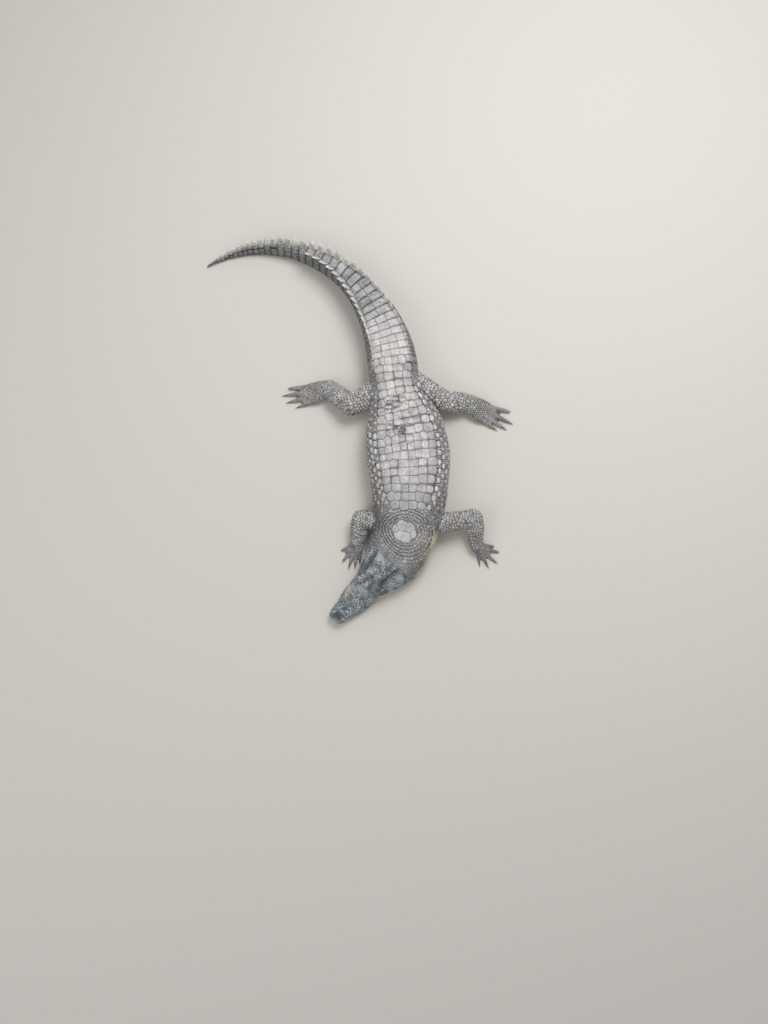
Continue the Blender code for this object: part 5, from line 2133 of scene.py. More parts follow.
class Coat:
    """Closed scales over the skin, each cut off where its neighbours begin."""

    def __init__(self, bed: Bed, skin: Skin, marks: Markings) -> None:
        """Works out the markings of every scale once.

        Args:
            bed: the roots of the scales.
            skin: the skin that they stand on.
            marks: the markings.
        """
        self.bed = bed
        self.skin = skin
        self.values = marks.all(bed.places, skin.animal)
        rng = np.random.default_rng(8)
        self.values["tone"] = np.clip(0.5 + 0.20 * rng.normal(size=len(bed.seeds.points)), 0.0, 1.0)
        low = ramp(bed.places.up, 0.02, 0.06)
        brighter = bed.seeds.cut("bright")[:, 0] * (0.35 + 0.65 * low)
        plain = np.isin(bed.seeds.kinds, [KINDS.index(kind) for kind in (Kind.GRANULE, Kind.LEG, Kind.DIGIT)])
        specks = 0.34 * (plain & (rng.random(len(plain)) > 0.86))
        self.values["light"] = np.clip(self.values["light"] + brighter + specks, 0.0, 1.0)

    def laid(self, chosen: Array, angles: Array, share: Array) -> tuple[Array, ...]:
        """Draws the flat of some scales on the skin.

        Args:
            chosen: numbers of the scales.
            angles: a direction for each point of each scale.
            share: how near each point is to the edge, up to 1.

        Returns:
            How far each point is along and across its scale, the point on the skin, and the
            root and way out of each scale.
        """
        seeds = self.bed.seeds
        reach = self.bed.outlines(chosen, angles) * share
        x, y = reach * np.cos(angles), reach * np.sin(angles)
        root, lie, out = (v[chosen][:, None] for v in (seeds.points, seeds.lies, self.bed.normals))
        flat = root + lie * x[..., None] + np.cross(out, lie) * y[..., None]
        landed = self.skin.nearest(flat.reshape(-1, 3))[0].reshape(flat.shape)
        return x, y, landed, root, out

    def piece(
        self, name: str, chosen: Array, points: Array, faces: Sequence[Array], flat: tuple[Array, Array],
        rise: Array, patch: float = 0.003, streaks: Array | float = 1.0,
    ) -> bpy.types.Object:
        """Makes one piece from scales that all have the same faces.

        Args:
            name: its name.
            chosen: numbers of the scales.
            points: the points of each scale.
            faces: the faces of one scale.
            flat: how far each point is along and across its scale.
            rise: how near each point is to the top.
            patch: how broad each scale is on the map.
            streaks: how much of the brown each point keeps.

        Returns:
            The piece.
        """
        seeds = self.bed.seeds
        count, per = rise.shape
        sizes = np.array([len(face) for face in faces])
        corners = (np.concatenate(faces)[None] + per * np.arange(count)[:, None]).ravel()
        size = np.maximum(seeds.along, seeds.across)[chosen][:, None] * 1.15
        local = np.stack([np.clip(v / size, -1, 1) for v in flat], axis=-1)
        spots = (self.bed.spots[chosen][:, None] + local * patch / 2).reshape(-1, 2)[corners]
        values = {key: np.repeat(value[chosen], per) for key, value in self.values.items()}
        values["brown"] = values["brown"] * np.ravel(streaks)
        values["rise"] = rise.ravel() * (1 - 0.36 * values["slate"])
        mesh = Cloth(inside_box(points.reshape(-1, 3)), corners, np.tile(sizes, count), values, spots)
        return mesh.object(name)

    def simple(self, name: str, chosen: Array, sides: int = 12) -> bpy.types.Object:
        """Small scales: a rim sunk in the skin, two rings and a crown.

        Args:
            name: name of the piece.
            chosen: numbers of its scales.
            sides: how many points each ring has.

        Returns:
            The piece.
        """
        seeds = self.bed.seeds
        count = len(chosen)
        angles = np.broadcast_to(round_turns(sides, 0.5), (count, sides))
        x, y, landed, root, out = self.laid(chosen, angles, np.ones(sides))
        drop = ((landed - root) * out).sum(-1)
        flat = landed - root - drop[..., None] * out
        high, plate, keel = (seeds.cut(key, chosen) for key in ("high", "flat", "keel"))
        half = seeds.across[chosen][:, None]
        size = np.minimum(1.0, np.minimum(seeds.along[chosen][:, None], half) / 0.0034)
        # painted shade: the rim sunk in the skin gets rise 0 and so the dark groove colour, the crown rise 1
        rings, rises = [landed - out * 0.0008], [np.zeros((count, sides))]
        for share in (0.90, 0.55):
            dome = math.sqrt(1 - share**2)
            lift = high * (dome + (min(1.0, (1 - share) / 0.12) - dome) * plate)
            ridge = keel * bump(share * y / half, 0.30) * (1 - share**2) * (0.75 + 0.25 * np.sign(x))
            height = share**2 * drop + (lift + ridge) * size
            rings.append(root + share * flat + height[..., None] * out)
            rises.append(np.broadcast_to(0.45 + 0.5 * lift / high, (count, sides)))
        points = np.concatenate([*rings, root + out * ((high + keel) * size)[..., None]], axis=1)
        rise = np.concatenate([*rises, np.ones((count, 1))], axis=1)
        i = np.arange(sides)
        j = (i + 1) % sides
        faces = [i[::-1]]
        for low in (0, sides):
            faces += list(np.stack([low + i, low + j, low + sides + j, low + sides + i], axis=1))
        faces += list(np.stack([2 * sides + i, 2 * sides + j, np.full(sides, 3 * sides)], axis=1))
        flat = tuple(np.concatenate([v, 0.9 * v, 0.55 * v, 0 * v[:, :1]], axis=1) for v in (x, y))
        return self.piece(name, chosen, points, faces, flat, rise)

    def detailed(self, name: str, chosen: Array, cells: int = 10) -> bpy.types.Object:
        """Large plates: a grid drawn over the skin with a bevel, pits and a keel.

        Args:
            name: name of the piece.
            chosen: numbers of its scales.
            cells: how many cells the grid has each way.

        Returns:
            The piece.
        """
        seeds = self.bed.seeds
        line = np.linspace(-1.0, 1.0, cells + 1)
        a, b = (v.ravel() for v in np.meshgrid(line, line, indexing="ij"))
        outer = np.maximum(np.abs(a), np.abs(b))
        safe = np.maximum(outer, 1e-6)
        along, across = seeds.along[chosen][:, None], seeds.across[chosen][:, None]
        angles = np.arctan2(b / safe * across, a / safe * along)
        x, y, landed, _, out = self.laid(chosen, angles, outer)
        high, plate, keel = (seeds.cut(key, chosen) for key in ("high", "flat", "keel"))
        level = 0.75 * (plate > 0.85)
        bevel = ramp(1 - np.abs(a), 0.0, 0.20) * np.ones_like(x)
        bevel = bevel * (level + (1 - level) * ramp(1 - np.abs(b), 0.0, 0.20))
        bevel = bevel * ramp(np.abs(a * b), 1.02, 0.62)
        dome = np.sqrt(np.clip(1 - outer**2, 0, 1))
        rear = ramp(x / along, -0.85, 0.55) * ramp(x / along, 1.0, 0.78)
        ridge = keel * bump(y / across, 0.17) * (0.25 + 0.75 * rear) * bevel
        spots = landed.reshape(-1, 3)
        pits = (0.5 * grain(spots, 0.0042, 21) + 0.5 * grain(spots, 0.0075, 22)).reshape(x.shape)
        lift = high * (dome + (bevel - dome) * plate) + ridge + 0.00045 * pits * bevel
        points = landed + out * lift[..., None]
        edge = np.flatnonzero(outer > 0.999)
        edge = edge[np.argsort(np.arctan2(b[edge], a[edge]), kind="stable")]
        grid = np.arange((cells + 1) ** 2).reshape(cells + 1, cells + 1)
        quads = np.stack([grid[:-1, :-1], grid[1:, :-1], grid[1:, 1:], grid[:-1, 1:]], axis=-1)
        i = np.arange(len(edge))
        j = (i + 1) % len(edge)
        low = grid.size + i
        wall = np.stack([low, grid.size + j, edge[j], edge[i]], axis=1)
        # painted shade: bevels and pits get a lower rise and so a darker colour, keels a higher one; the
        # walls down to the skin take the dark groove colour as far as their seam allows
        rise = np.clip(0.42 + 0.50 * bevel + 0.12 * pits + ridge / 0.004, 0.0, 1.0)
        seam = seeds.cut("seam", chosen) * (1.0 + 1.6 * (np.abs(b[edge]) > 0.999) * (plate > 0.85))
        seam = np.minimum(0.85, seam * (0.45 + 1.5 * self.values["light"][chosen][:, None]))
        rise = np.concatenate([rise, seam], axis=1)
        points = np.concatenate([points, landed[:, edge] - out * 0.0016], axis=1)
        flat = tuple(np.concatenate([v, v[:, edge]], axis=1) for v in (x, y))
        drawn = points.reshape(-1, 3) * (0.30, 1.0, 1.0)
        streaks = ramp(grain(drawn, 0.0075, 23), -0.04, 0.14)
        faces = [low[::-1], *wall, *quads.reshape(-1, 4)]
        return self.piece(name, chosen, points, faces, flat, rise, streaks=streaks)

    def pieces(self) -> Iterator[tuple[bpy.types.Object, str]]:
        """Makes every piece of the coat, with the finish slot of each.

        Returns:
            Each piece with its slot.
        """
        seeds, places = self.bed.seeds, self.bed.places
        fine = seeds.cut("fine")[:, 0]
        belly, jaw = (seeds.kinds == KINDS.index(kind) for kind in (Kind.BELLY, Kind.JAW))
        leg = places.limb >= 0
        tail = (places.s > 1.03) & ~leg
        neck = (places.s < 0.48) & ~leg
        groups = {
            "plates_back": fine & ~tail & ~neck, "plates_nape": fine & neck, "plates_tail": fine & tail,
        }
        for name, mask in groups.items():
            yield self.detailed(name, np.flatnonzero(mask)), "hide"
        plain = ~fine & ~leg & ~belly & ~jaw & ~tail
        groups = {
            "scales_neck": plain & neck, "scales_flank_left": plain & ~neck & (places.off >= 0),
            "scales_flank_right": plain & ~neck & (places.off < 0), "scales_tail": ~fine & tail,
            "scales_belly": belly & ~tail, "scales_jaw": jaw,
        }
        for limb in Limb:
            groups["scales_" + limb.name.lower()] = ~fine & (places.limb == limb.value)
        for name, mask in groups.items():
            slot = "pale_hide" if name in ("scales_belly", "scales_jaw") else "hide"
            yield self.simple(name, np.flatnonzero(mask)), slot


# --- crest, claws, teeth and eyes ----------------------------------------------------------
@dataclass
class Crest:
    """The blades along the tail, each a thin hooked fin."""

    animal: Animal
    line: CrestLine
    along: int = 10
    tall: int = 9
    front: Rows = Rows(
        ((-0.2, -0.48), (0.0, -0.47), (0.25, -0.43), (0.5, -0.36), (0.76, -0.21), (0.9, 0.10), (1.0, 0.30))
    )
    rear: Rows = Rows(((-0.2, 0.475), (0.0, 0.475), (0.6, 0.465), (0.8, 0.395), (0.9, 0.355), (1.0, 0.325)))

    def blade(self, s: float, length: float, off: float, lean: float) -> tuple[Array, Array]:
        """One blade.

        Args:
            s: distance along the animal.
            length: length of its foot.
            off: distance off its middle.
            lean: its lean outwards in degrees.

        Returns:
            Its points, one side after the other, and how near each is to the blade's edge.
        """
        body = self.animal.body
        level = body.crown(s, off)
        lean_here = float(body.lean(s))
        root = self.animal.spine.place(s, off + level * math.tan(math.radians(lean_here)), level)
        back, left = self.animal.spine.sides(s)
        tilt = math.radians(lean + lean_here)
        up = UP * math.cos(tilt) + left * math.sin(tilt)
        thick = left * math.cos(tilt) - UP * math.sin(tilt)
        v = np.linspace(0.0, 1.0, self.tall)[:, None]
        u = np.linspace(0.0, 1.0, self.along)[None]
        front = self.front(v)
        x = (front + (self.rear(v) - front) * u) * length
        across = np.sin(math.pi * u) ** 0.55
        half = (1.0 - 0.66 * v) * (0.22 + 0.78 * across) * self.line.thick / 2
        half = half * (1 - 0.7 * ramp(v, 0.88, 1.0))
        ribs = 0.00025 * np.sin(u * 22.0) * ramp(v, 0.1, 0.4)
        lift = np.where(v == 0, -self.line.foot, float(self.line.tall(s)) * v) * np.ones_like(x)
        middle = root + back * x[..., None] + up * lift[..., None]
        edge = np.maximum(ramp(v, 0.35, 0.95) * np.ones_like(u), 0.5 * (1 - across) * np.ones_like(v))
        sides = [middle + thick * ((half + ribs) * sign)[..., None] for sign in (1, -1)]
        return np.concatenate([side.reshape(-1, 3) for side in sides]), np.tile(edge.ravel(), 2)

    def build(self, marks: Markings, skin: Skin) -> bpy.types.Object:
        """Makes the piece.

        Args:
            marks: the markings.
            skin: the skin that the blades stand on.

        Returns:
            The object.
        """
        grid = np.arange(self.along * self.tall).reshape(self.tall, self.along)
        quads = np.stack([grid[:-1, :-1], grid[:-1, 1:], grid[1:, 1:], grid[1:, :-1]], axis=-1).reshape(-1, 4)
        other = quads[:, ::-1] + grid.size
        rim = np.concatenate([grid[0], grid[1:, -1], grid[-1, :-1][::-1], grid[1:-1, 0][::-1]])
        after = np.roll(rim, -1)
        wall = np.stack([after, rim, rim + grid.size, after + grid.size], axis=1)
        faces = np.concatenate([wall, quads, other])
        blades, edges = zip(*(self.blade(*fin) for fin in self.line.blades()))
        count, per = len(blades), 2 * grid.size
        corners = (faces.ravel()[None] + per * np.arange(count)[:, None]).ravel()
        landed, near, _ = skin.nearest(np.array([fin.mean(axis=0) for fin in blades]))
        places = Places.of(self.animal, landed, skin.face_normals[near])
        values = {name: np.repeat(value, per) for name, value in marks.all(places, self.animal).items()}
        points, edge = np.concatenate(blades), np.concatenate(edges)
        bands = 0.5 + 0.5 * grain(points, 0.011, 17)
        tones = np.clip(0.55 + 0.2 * np.random.default_rng(3).normal(size=count), 0, 1)
        values["pale"] = 0.26 * edge * bands
        values["light"] = np.clip(0.76 + 0.40 * edge, 0, 1)
        values["brown"] = 0.4 * (1 - edge)
        values["rise"] = 0.62 + 0.38 * edge
        values["slate"] = 0.0 * edge
        values["tone"] = np.clip(np.repeat(tones, per) + 0.5 * edge, 0, 1)
        u, v = np.meshgrid(np.linspace(-1, 1, self.along), np.linspace(-1, 1, self.tall))
        local = np.stack([u.ravel(), v.ravel()], axis=1) * 0.00072
        local = np.concatenate([local - [0.00078, 0], local + [0.00078, 0]])
        spots = (skin.face_spots[near][:, None] + local[None]).reshape(-1, 2)[corners]
        sizes = np.full(len(faces) * count, 4)
        return Cloth(inside_box(points), corners, sizes, values, spots).object("tail_crest")


@dataclass
class Claws:
    """Curved claws on the inner three digits of each hand and foot."""

    animal: Animal
    sides: int = 14
    rings: int = 12

    def claw(self, limb: LimbForm, root: Array, level: Array) -> Shell:
        """One claw, from its root in the digit to its point.

        Args:
            limb: the leg.
            root: where the claw starts.
            level: the way it points, along the floor.

        Returns:
            The shell.
        """
        turns = round_turns(self.sides)
        rings = []
        for share in np.linspace(-0.12, 1.0, self.rings):
            gone = max(share, 0.0)
            droop = 0.9 * gone * gone * (root[2] - 0.001)
            centre = root + level * limb.claw_length * share - UP * droop
            radius = limb.claw_radius * (1 - 0.88 * gone**1.25) * (1.0 if share > 0 else 0.94)
            slope = unit(level - UP * (gone * root[2] / limb.claw_length * 1.6))
            side = unit(np.cross(slope, UP))
            wide = side * np.cos(turns)[:, None] * radius * 0.86
            deep = np.cross(side, slope) * np.sin(turns)[:, None] * radius * 1.18
            rings.append(centre + wide + deep)
        return Shell.through(np.array(rings))

    def build(self) -> bpy.types.Object:
        """Makes all of the claws as one piece.

        Returns:
            The object.
        """
        shells = [self.claw(limb, *root) for limb in self.animal.limbs for root in limb.claw_roots]
        rise = np.tile(np.repeat(np.linspace(0.0, 1.0, self.rings), self.sides), len(shells))
        return Cloth.of(shells, {"rise": rise}).object("claws")


@dataclass
class Teeth:
    """The upper teeth that show outside the closed lower jaw, and the fourth lower one.

    Each row is the distance along and the length of a pair.
    """

    animal: Animal
    upper: tuple[tuple[float, float], ...] = (
        (0.010, 0.0050), (0.019, 0.0062), (0.028, 0.0070), (0.037, 0.0060), (0.070, 0.0050),
        (0.079, 0.0062), (0.089, 0.0078), (0.099, 0.0070), (0.110, 0.0054), (0.123, 0.0050),
        (0.136, 0.0056), (0.149, 0.0054), (0.162, 0.0048), (0.174, 0.0042), (0.185, 0.0038),
    )
    lower: tuple[tuple[float, float], ...] = ((0.053, 0.0085), (0.062, 0.0050))
    sides: int = 10

    def tooth(self, s: float, length: float, side: int, way: float) -> Shell:
        """One tooth.

        Args:
            s: distance along the animal.
            length: how far it stands out of the gum.
            side: 1 for the left, -1 for the right.
            way: -1 for an upper tooth, 1 for a lower one.

        Returns:
            Its closed form.
        """
        head = self.animal.head
        wide = float(head.half_width(s)) - (0.0012 if way < 0 else 0.0022)
        base = float(head.lip(s)) - way * 0.0012
        turns = round_turns(self.sides)
        rings = []
        for share in (0.0, 0.35, 0.7, 0.93, 1.0):
            radius = length * 0.27 * math.sqrt(max(0.02, 1 - share**1.7))
            off = float(head.jaw_sway(s)) + side * (wide + 0.0009 * math.sin(share * 2.2))
            x, y = radius * np.cos(turns), radius * np.sin(turns)
            rings.append(self.animal.spine.place(s + x, off + y, base + way * length * share))
        return Shell.through(np.array(rings))

    def build(self) -> bpy.types.Object:
        """Makes all of the teeth as one piece.

        Returns:
            The object.
        """
        rows = [(*row, -1.0) for row in self.upper] + [(*row, 1.0) for row in self.lower]
        shells = [self.tooth(s, length, side, way) for s, length, way in rows for side in (-1, 1)]
        return Cloth.of(shells).object("teeth")


@dataclass
class Eye:
    """One eyeball with its upper and lower lids."""

    animal: Animal
    side: int
    looks: tuple[float, float, float] = (0.92, 0.26, 0.30)

    def __post_init__(self) -> None:
        """Finds the middle of the ball and the way that it looks."""
        s, off, up = self.animal.head.eye_at
        self.radius = self.animal.head.eye_radius
        self.centre = self.animal.spine.place(s, self.side * off, up)
        back, left = self.animal.spine.sides(s)
        outward, backward, upward = self.looks
        self.gaze = unit(left * self.side * outward - back * backward + UP * upward)
        self.level = unit(back - self.gaze * (back @ self.gaze))
        self.upright = unit(np.cross(self.gaze, self.level))
        if self.upright[2] < 0:
            self.upright = -self.upright

    @classmethod
    def pair(cls, animal: Animal) -> list["Eye"]:
        """Both eyes."""
        return [cls(animal, 1), cls(animal, -1)]

    @property
    def name(self) -> str:
        """Which eye it is."""
        return "left" if self.side > 0 else "right"

    def directed(self, across: Array, rise: Array) -> Array:
        """Directions from the ball's middle at angles across and above the way it looks.

        Args:
            across: angles to the side.
            rise: angles upwards.

        Returns:
            Directions of length 1.
        """
        return (
            self.gaze * (np.cos(across) * np.cos(rise))[..., None]
            + self.level * (np.sin(across) * np.cos(rise))[..., None]
            + self.upright * np.sin(rise)[..., None]
        )

    def ball(self, rings: int = 40, sides: int = 48) -> bpy.types.Object:
        """The eyeball, with its clear front bulging a little.

        Args:
            rings: how many rings it has.
            sides: how many points each ring has.

        Returns:
            The object.
        """
        bands = np.linspace(0.0, math.pi, rings)[:, None]
        turns = round_turns(sides)[None]
        ahead = np.cos(bands) * np.ones_like(turns)
        local = np.stack([ahead, np.sin(bands) * np.cos(turns), np.sin(bands) * np.sin(turns)], axis=-1)
        bulge = 1 - 0.03 + 0.03 * ramp(ahead, 0.70, 0.86)
        axes = np.stack([self.gaze, self.level, self.upright])
        shell = Shell.through(self.centre + (local * (bulge * self.radius * 0.985)[..., None]) @ axes)
        values = dict(zip(("ahead", "aside", "above"), local.reshape(-1, 3).T))
        return Cloth.of([shell], values).object(f"eyeball_{self.name}")

    def lid(self, upper: bool, half_open: float, thick: float = 0.0011) -> Shell:
        """One lid: a curved flap over the ball with a rolled edge.

        Args:
            upper: whether it is the upper lid.
            half_open: how far its edge stands from the middle of the eye, in radians.
            thick: how thick it is.

        Returns:
            Its closed form.
        """
        span = np.radians(np.linspace(-80, 80, 41))
        corner = np.clip(1 - (np.abs(span) / math.radians(62)) ** 2, 0.0, 1.0)
        edge = (1 if upper else -1) * half_open * corner**0.8
        far = math.radians(72 if upper else -64)
        rows = [(0.0, 0.0002), (0.0, thick * 0.7), (0.05, thick), (0.14, thick * 1.05)]
        for share in (0.24, 0.31, 0.38, 0.52, 0.66, 0.8, 0.9, 1.0):
            fold = -0.0005 * math.exp(-(((share - 0.31) / 0.05) ** 2))
            rows.append((share, thick * (1.05 - 0.5 * max(0.0, share - 0.5)) + fold))
        outer = np.array(
            [
                self.centre + self.directed(span, edge + (far - edge) * share) * (self.radius + lift)
                for share, lift in rows
            ]
        )
        inner = self.centre + (outer[::-1] - self.centre) * ((self.radius * 0.9) / (self.radius + thick))
        return Shell.through(np.concatenate([outer, inner[:-1]], axis=0).transpose(1, 0, 2))

    def lids(self, marks: Markings) -> bpy.types.Object:
        """Both lids as one piece.

        Args:
            marks: the markings.

        Returns:
            The object.
        """
        cloth = Cloth.of([self.lid(True, 0.38), self.lid(False, 0.26)])
        normals = point_normals(cloth.points, cloth.corners, cloth.sizes)
        places = Places.of(self.animal, cloth.points, normals)
        cloth.values = marks.all(places, self.animal)
        cloth.values["pale"] = np.zeros(len(normals))
        cloth.values["rise"] = 0.50 + 0.2 * grain(cloth.points, 0.002, 30)
        cloth.values["tone"] = 0.5 + 0.2 * grain(cloth.points, 0.004, 31)
        return cloth.object(f"eyelids_{self.name}")


# --- finishes ------------------------------------------------------------------------------
Colour = tuple[float, float, float]


class Nodes:
    """A material's nodes, made and joined in short calls."""

    MIX_SHARE, MIX_FIRST, MIX_SECOND, MIX_COLOUR = 0, 6, 7, 2

    def __init__(self, name: str) -> None:
        """Starts a material with its surface shader alone.

        Args:
            name: what the material is called.
        """
        self.material = bpy.data.materials.new(name)
        self.material.use_nodes = True
        self.tree = self.material.node_tree
        self.surface = self.tree.nodes["Principled BSDF"]

    def put(self, value: object, target: bpy.types.NodeSocket) -> None:
        """Joins a socket or sets a number or colour.

        Args:
            value: the socket, number or colour.
            target: the socket that takes it.
        """
        if isinstance(value, bpy.types.NodeSocket):
            self.tree.links.new(value, target)
        else:
            target.default_value = (*value, 1.0) if isinstance(value, tuple) else value

    def add(
        self, kind: str, output: str | int, inputs: dict[str | int, object], **settings: object
    ) -> bpy.types.NodeSocket:
        """Adds a node.

        Args:
            kind: its type in Blender.
            output: which of its outputs is wanted.
            inputs: what goes into its sockets.
            settings: its own settings.

        Returns:
            The wanted output.
        """
        node = self.tree.nodes.new(kind)
        for key, value in settings.items():
            setattr(node, key, value)
        for key, value in inputs.items():
            self.put(value, node.inputs[key])
        return node.outputs[output]

    def share(self, name: str) -> bpy.types.NodeSocket:
        """A value that the mesh keeps for each point."""
        return self.add("ShaderNodeAttribute", "Fac", {}, attribute_name=name)

    def where(self) -> bpy.types.NodeSocket:
        """The place in the model."""
        return self.add("ShaderNodeTexCoord", "Object", {})

    def noise(self, size: float, detail: float = 4.0, rough: float = 0.6) -> bpy.types.NodeSocket:
        """Cloudy noise whose lumps are size metres apart."""
        inputs = {"Vector": self.where(), "Scale": 1 / size, "Detail": detail, "Roughness": rough}
        return self.add("ShaderNodeTexNoise", "Fac", inputs)

    def cells(self, size: float) -> bpy.types.NodeSocket:
        """Cells that are size metres apart, as the distance to their edge."""
        inputs = {"Vector": self.where(), "Scale": 1 / size}
        return self.add("ShaderNodeTexVoronoi", "Distance", inputs, feature="DISTANCE_TO_EDGE")

    def span(
        self, value: object, low: float, high: float, to_low: float = 0.0, to_high: float = 1.0
    ) -> bpy.types.NodeSocket:
        """Carries a value smoothly from one span to another."""
        inputs = dict(enumerate((value, low, high, to_low, to_high)))
        return self.add("ShaderNodeMapRange", "Result", inputs, interpolation_type="SMOOTHSTEP")

    def maths(self, way: str, a: object, b: object) -> bpy.types.NodeSocket:
        """Works out one sum."""
        return self.add("ShaderNodeMath", 0, {0: a, 1: b}, operation=way)

    def mix(self, share: object, a: object, b: object, way: str = "MIX") -> bpy.types.NodeSocket:
        """Mixes two colours."""
        inputs = {self.MIX_SHARE: share, self.MIX_FIRST: a, self.MIX_SECOND: b}
        return self.add("ShaderNodeMix", self.MIX_COLOUR, inputs, data_type="RGBA", blend_type=way)

    def raised(self, height: object, deep: float) -> None:
        """Gives the surface a bump of a real depth in metres."""
        normal = self.add("ShaderNodeBump", "Normal", {"Distance": deep, "Height": height})
        self.put(normal, self.surface.inputs["Normal"])

    def finish(self, base: object, rough: object) -> bpy.types.Material:
        """Sets the colour and roughness.

        Args:
            base: the colour.
            rough: the roughness.

        Returns:
            The material.
        """
        self.put(base, self.surface.inputs["Base Color"])
        self.put(rough, self.surface.inputs["Roughness"])
        return self.material


@dataclass(frozen=True)
class HideFinish:
    """Dry scaled hide: painted shade in its grooves, bleached on its plates, pale below."""

    name: str = "scaled_hide"
    # near-black colour painted as shade in the grooves between scales and at their feet
    groove: Colour = (0.030, 0.029, 0.027)
    dark: Colour = (0.104, 0.097, 0.092)
    bleached: Colour = (0.525, 0.500, 0.474)
    brown: Colour = (0.078, 0.062, 0.055)
    pale: Colour = (0.620, 0.580, 0.410)
    slate: Colour = (0.082, 0.098, 0.109)
    slate_ridge: Colour = (0.365, 0.395, 0.405)
    dust: Colour = (0.270, 0.255, 0.220)
    rough: tuple[float, float] = (0.52, 0.78)
    pebble: float = 0.0021
    bump_deep: float = 0.00035

    def make(self) -> bpy.types.Material:
        """Makes the material.

        Returns:
            The material.
        """
        n = Nodes(self.name)
        rise, tone = n.share("rise"), n.share("tone")
        fine, broad = n.noise(0.0035), n.noise(0.028, 3.0)
        body = n.mix(n.share("light"), self.dark, self.bleached)
        flecks = n.span(n.noise(0.0105, 5.0, 0.72), 0.40, 0.54)
        flecks = n.maths("MULTIPLY", flecks, n.share("brown"))
        body = n.mix(flecks, body, self.brown)
        head = n.mix(n.span(rise, 0.49, 0.98), self.slate, self.slate_ridge)
        head = n.mix(n.span(broad, 0.45, 0.72, 0.0, 0.22), head, self.dust)
        body = n.mix(n.share("slate"), body, head)
        body = n.mix(n.share("pale"), body, self.pale)
        shift = n.span(tone, 0.0, 1.0, 0.88, 1.12)
        mottle = n.span(fine, 0.30, 0.72, 0.74, 1.24)
        blotch = n.span(broad, 0.30, 0.70, 0.82, 1.18)
        shift = n.maths("MULTIPLY", n.maths("MULTIPLY", shift, mottle), blotch)
        grey = n.add("ShaderNodeCombineColor", "Color", {0: shift, 1: shift, 2: shift})
        body = n.mix(1.0, body, grey, "MULTIPLY")
        # painted shade: the lower a point sits (low rise), the nearer its colour goes to the near-black
        # groove shade
        base = n.mix(n.span(rise, 0.02, 0.52), self.groove, body)
        pebbles = n.cells(self.pebble)
        height = n.maths("ADD", n.span(pebbles, 0.0, 0.25, 0.0, 0.6), n.maths("MULTIPLY", fine, 0.8))
        n.raised(height, self.bump_deep)
        return n.finish(base, n.span(fine, 0.3, 0.7, *self.rough))


@dataclass(frozen=True)
class HornFinish:
    """Horn of the claws: dark brown, paler and smoother towards the tip."""

    name: str = "horn"
    root: Colour = (0.045, 0.034, 0.026)
    tip: Colour = (0.150, 0.115, 0.080)
    rough: tuple[float, float] = (0.32, 0.50)

    def make(self) -> bpy.types.Material:
        """Makes the material.

        Returns:
            The material.
        """
        n = Nodes(self.name)
        streaks = n.noise(0.0016, 5.0, 0.7)
        base = n.mix(n.share("rise"), self.root, self.tip)
        base = n.mix(n.span(streaks, 0.35, 0.75, 0.0, 0.55), base, self.root)
        n.raised(streaks, 0.00015)
        return n.finish(base, n.span(streaks, 0.3, 0.7, *self.rough))


@dataclass(frozen=True)
class ToothFinish:
    """Old enamel, stained towards the gum."""

    name: str = "enamel"
    clean: Colour = (0.700, 0.640, 0.500)
    stained: Colour = (0.360, 0.270, 0.150)

    def make(self) -> bpy.types.Material:
        """Makes the material.

        Returns:
            The material.
        """
        n = Nodes(self.name)
        stain = n.noise(0.0022, 4.0, 0.6)
        base = n.mix(n.span(stain, 0.38, 0.72), self.clean, self.stained)
        n.raised(n.noise(0.0007, 3.0), 0.00006)
        return n.finish(base, n.span(stain, 0.3, 0.7, 0.25, 0.40))


@dataclass(frozen=True)
class EyeFinish:
    """A wet eye: olive gold round an upright slit, brown towards its rim."""

    name: str = "wet_eye"
    iris: Colour = (0.260, 0.200, 0.050)
    rim: Colour = (0.040, 0.028, 0.012)
    pupil: Colour = (0.004, 0.004, 0.004)
    white: Colour = (0.120, 0.085, 0.055)
    gloss: float = 0.06
    slit: float = 0.075

    def make(self) -> bpy.types.Material:
        """Makes the material.

        Returns:
            The material.
        """
        n = Nodes(self.name)
        ahead, aside, above = n.share("ahead"), n.share("aside"), n.share("above")
        veins = n.noise(0.0009, 5.0, 0.7)
        iris = n.mix(n.span(veins, 0.35, 0.7), self.rim, self.iris)
        base = n.mix(n.span(ahead, 0.62, 0.68), self.white, iris)
        narrow = n.maths("DIVIDE", n.maths("ABSOLUTE", aside, 0.0), self.slit)
        tall = n.maths("DIVIDE", n.maths("ABSOLUTE", above, 0.0), 0.60)
        far = n.maths("ADD", n.maths("MULTIPLY", narrow, narrow), n.maths("MULTIPLY", tall, tall))
        base = n.mix(n.span(far, 1.15, 0.85), base, self.pupil)
        n.surface.inputs["Coat Weight"].default_value = 1.0
        n.surface.inputs["Coat Roughness"].default_value = 0.03
        n.raised(veins, 0.00002)
        return n.finish(base, n.span(veins, 0.3, 0.7, self.gloss, self.gloss + 0.10))


@dataclass(frozen=True)
class FloorFinish:
    """A plain pale matt floor."""

    name: str = "studio_floor"
    colour: Colour = (0.520, 0.490, 0.450)

    def make(self) -> bpy.types.Material:
        """Makes the material."""
        n = Nodes(self.name)
        return n.finish(self.colour, 0.85)


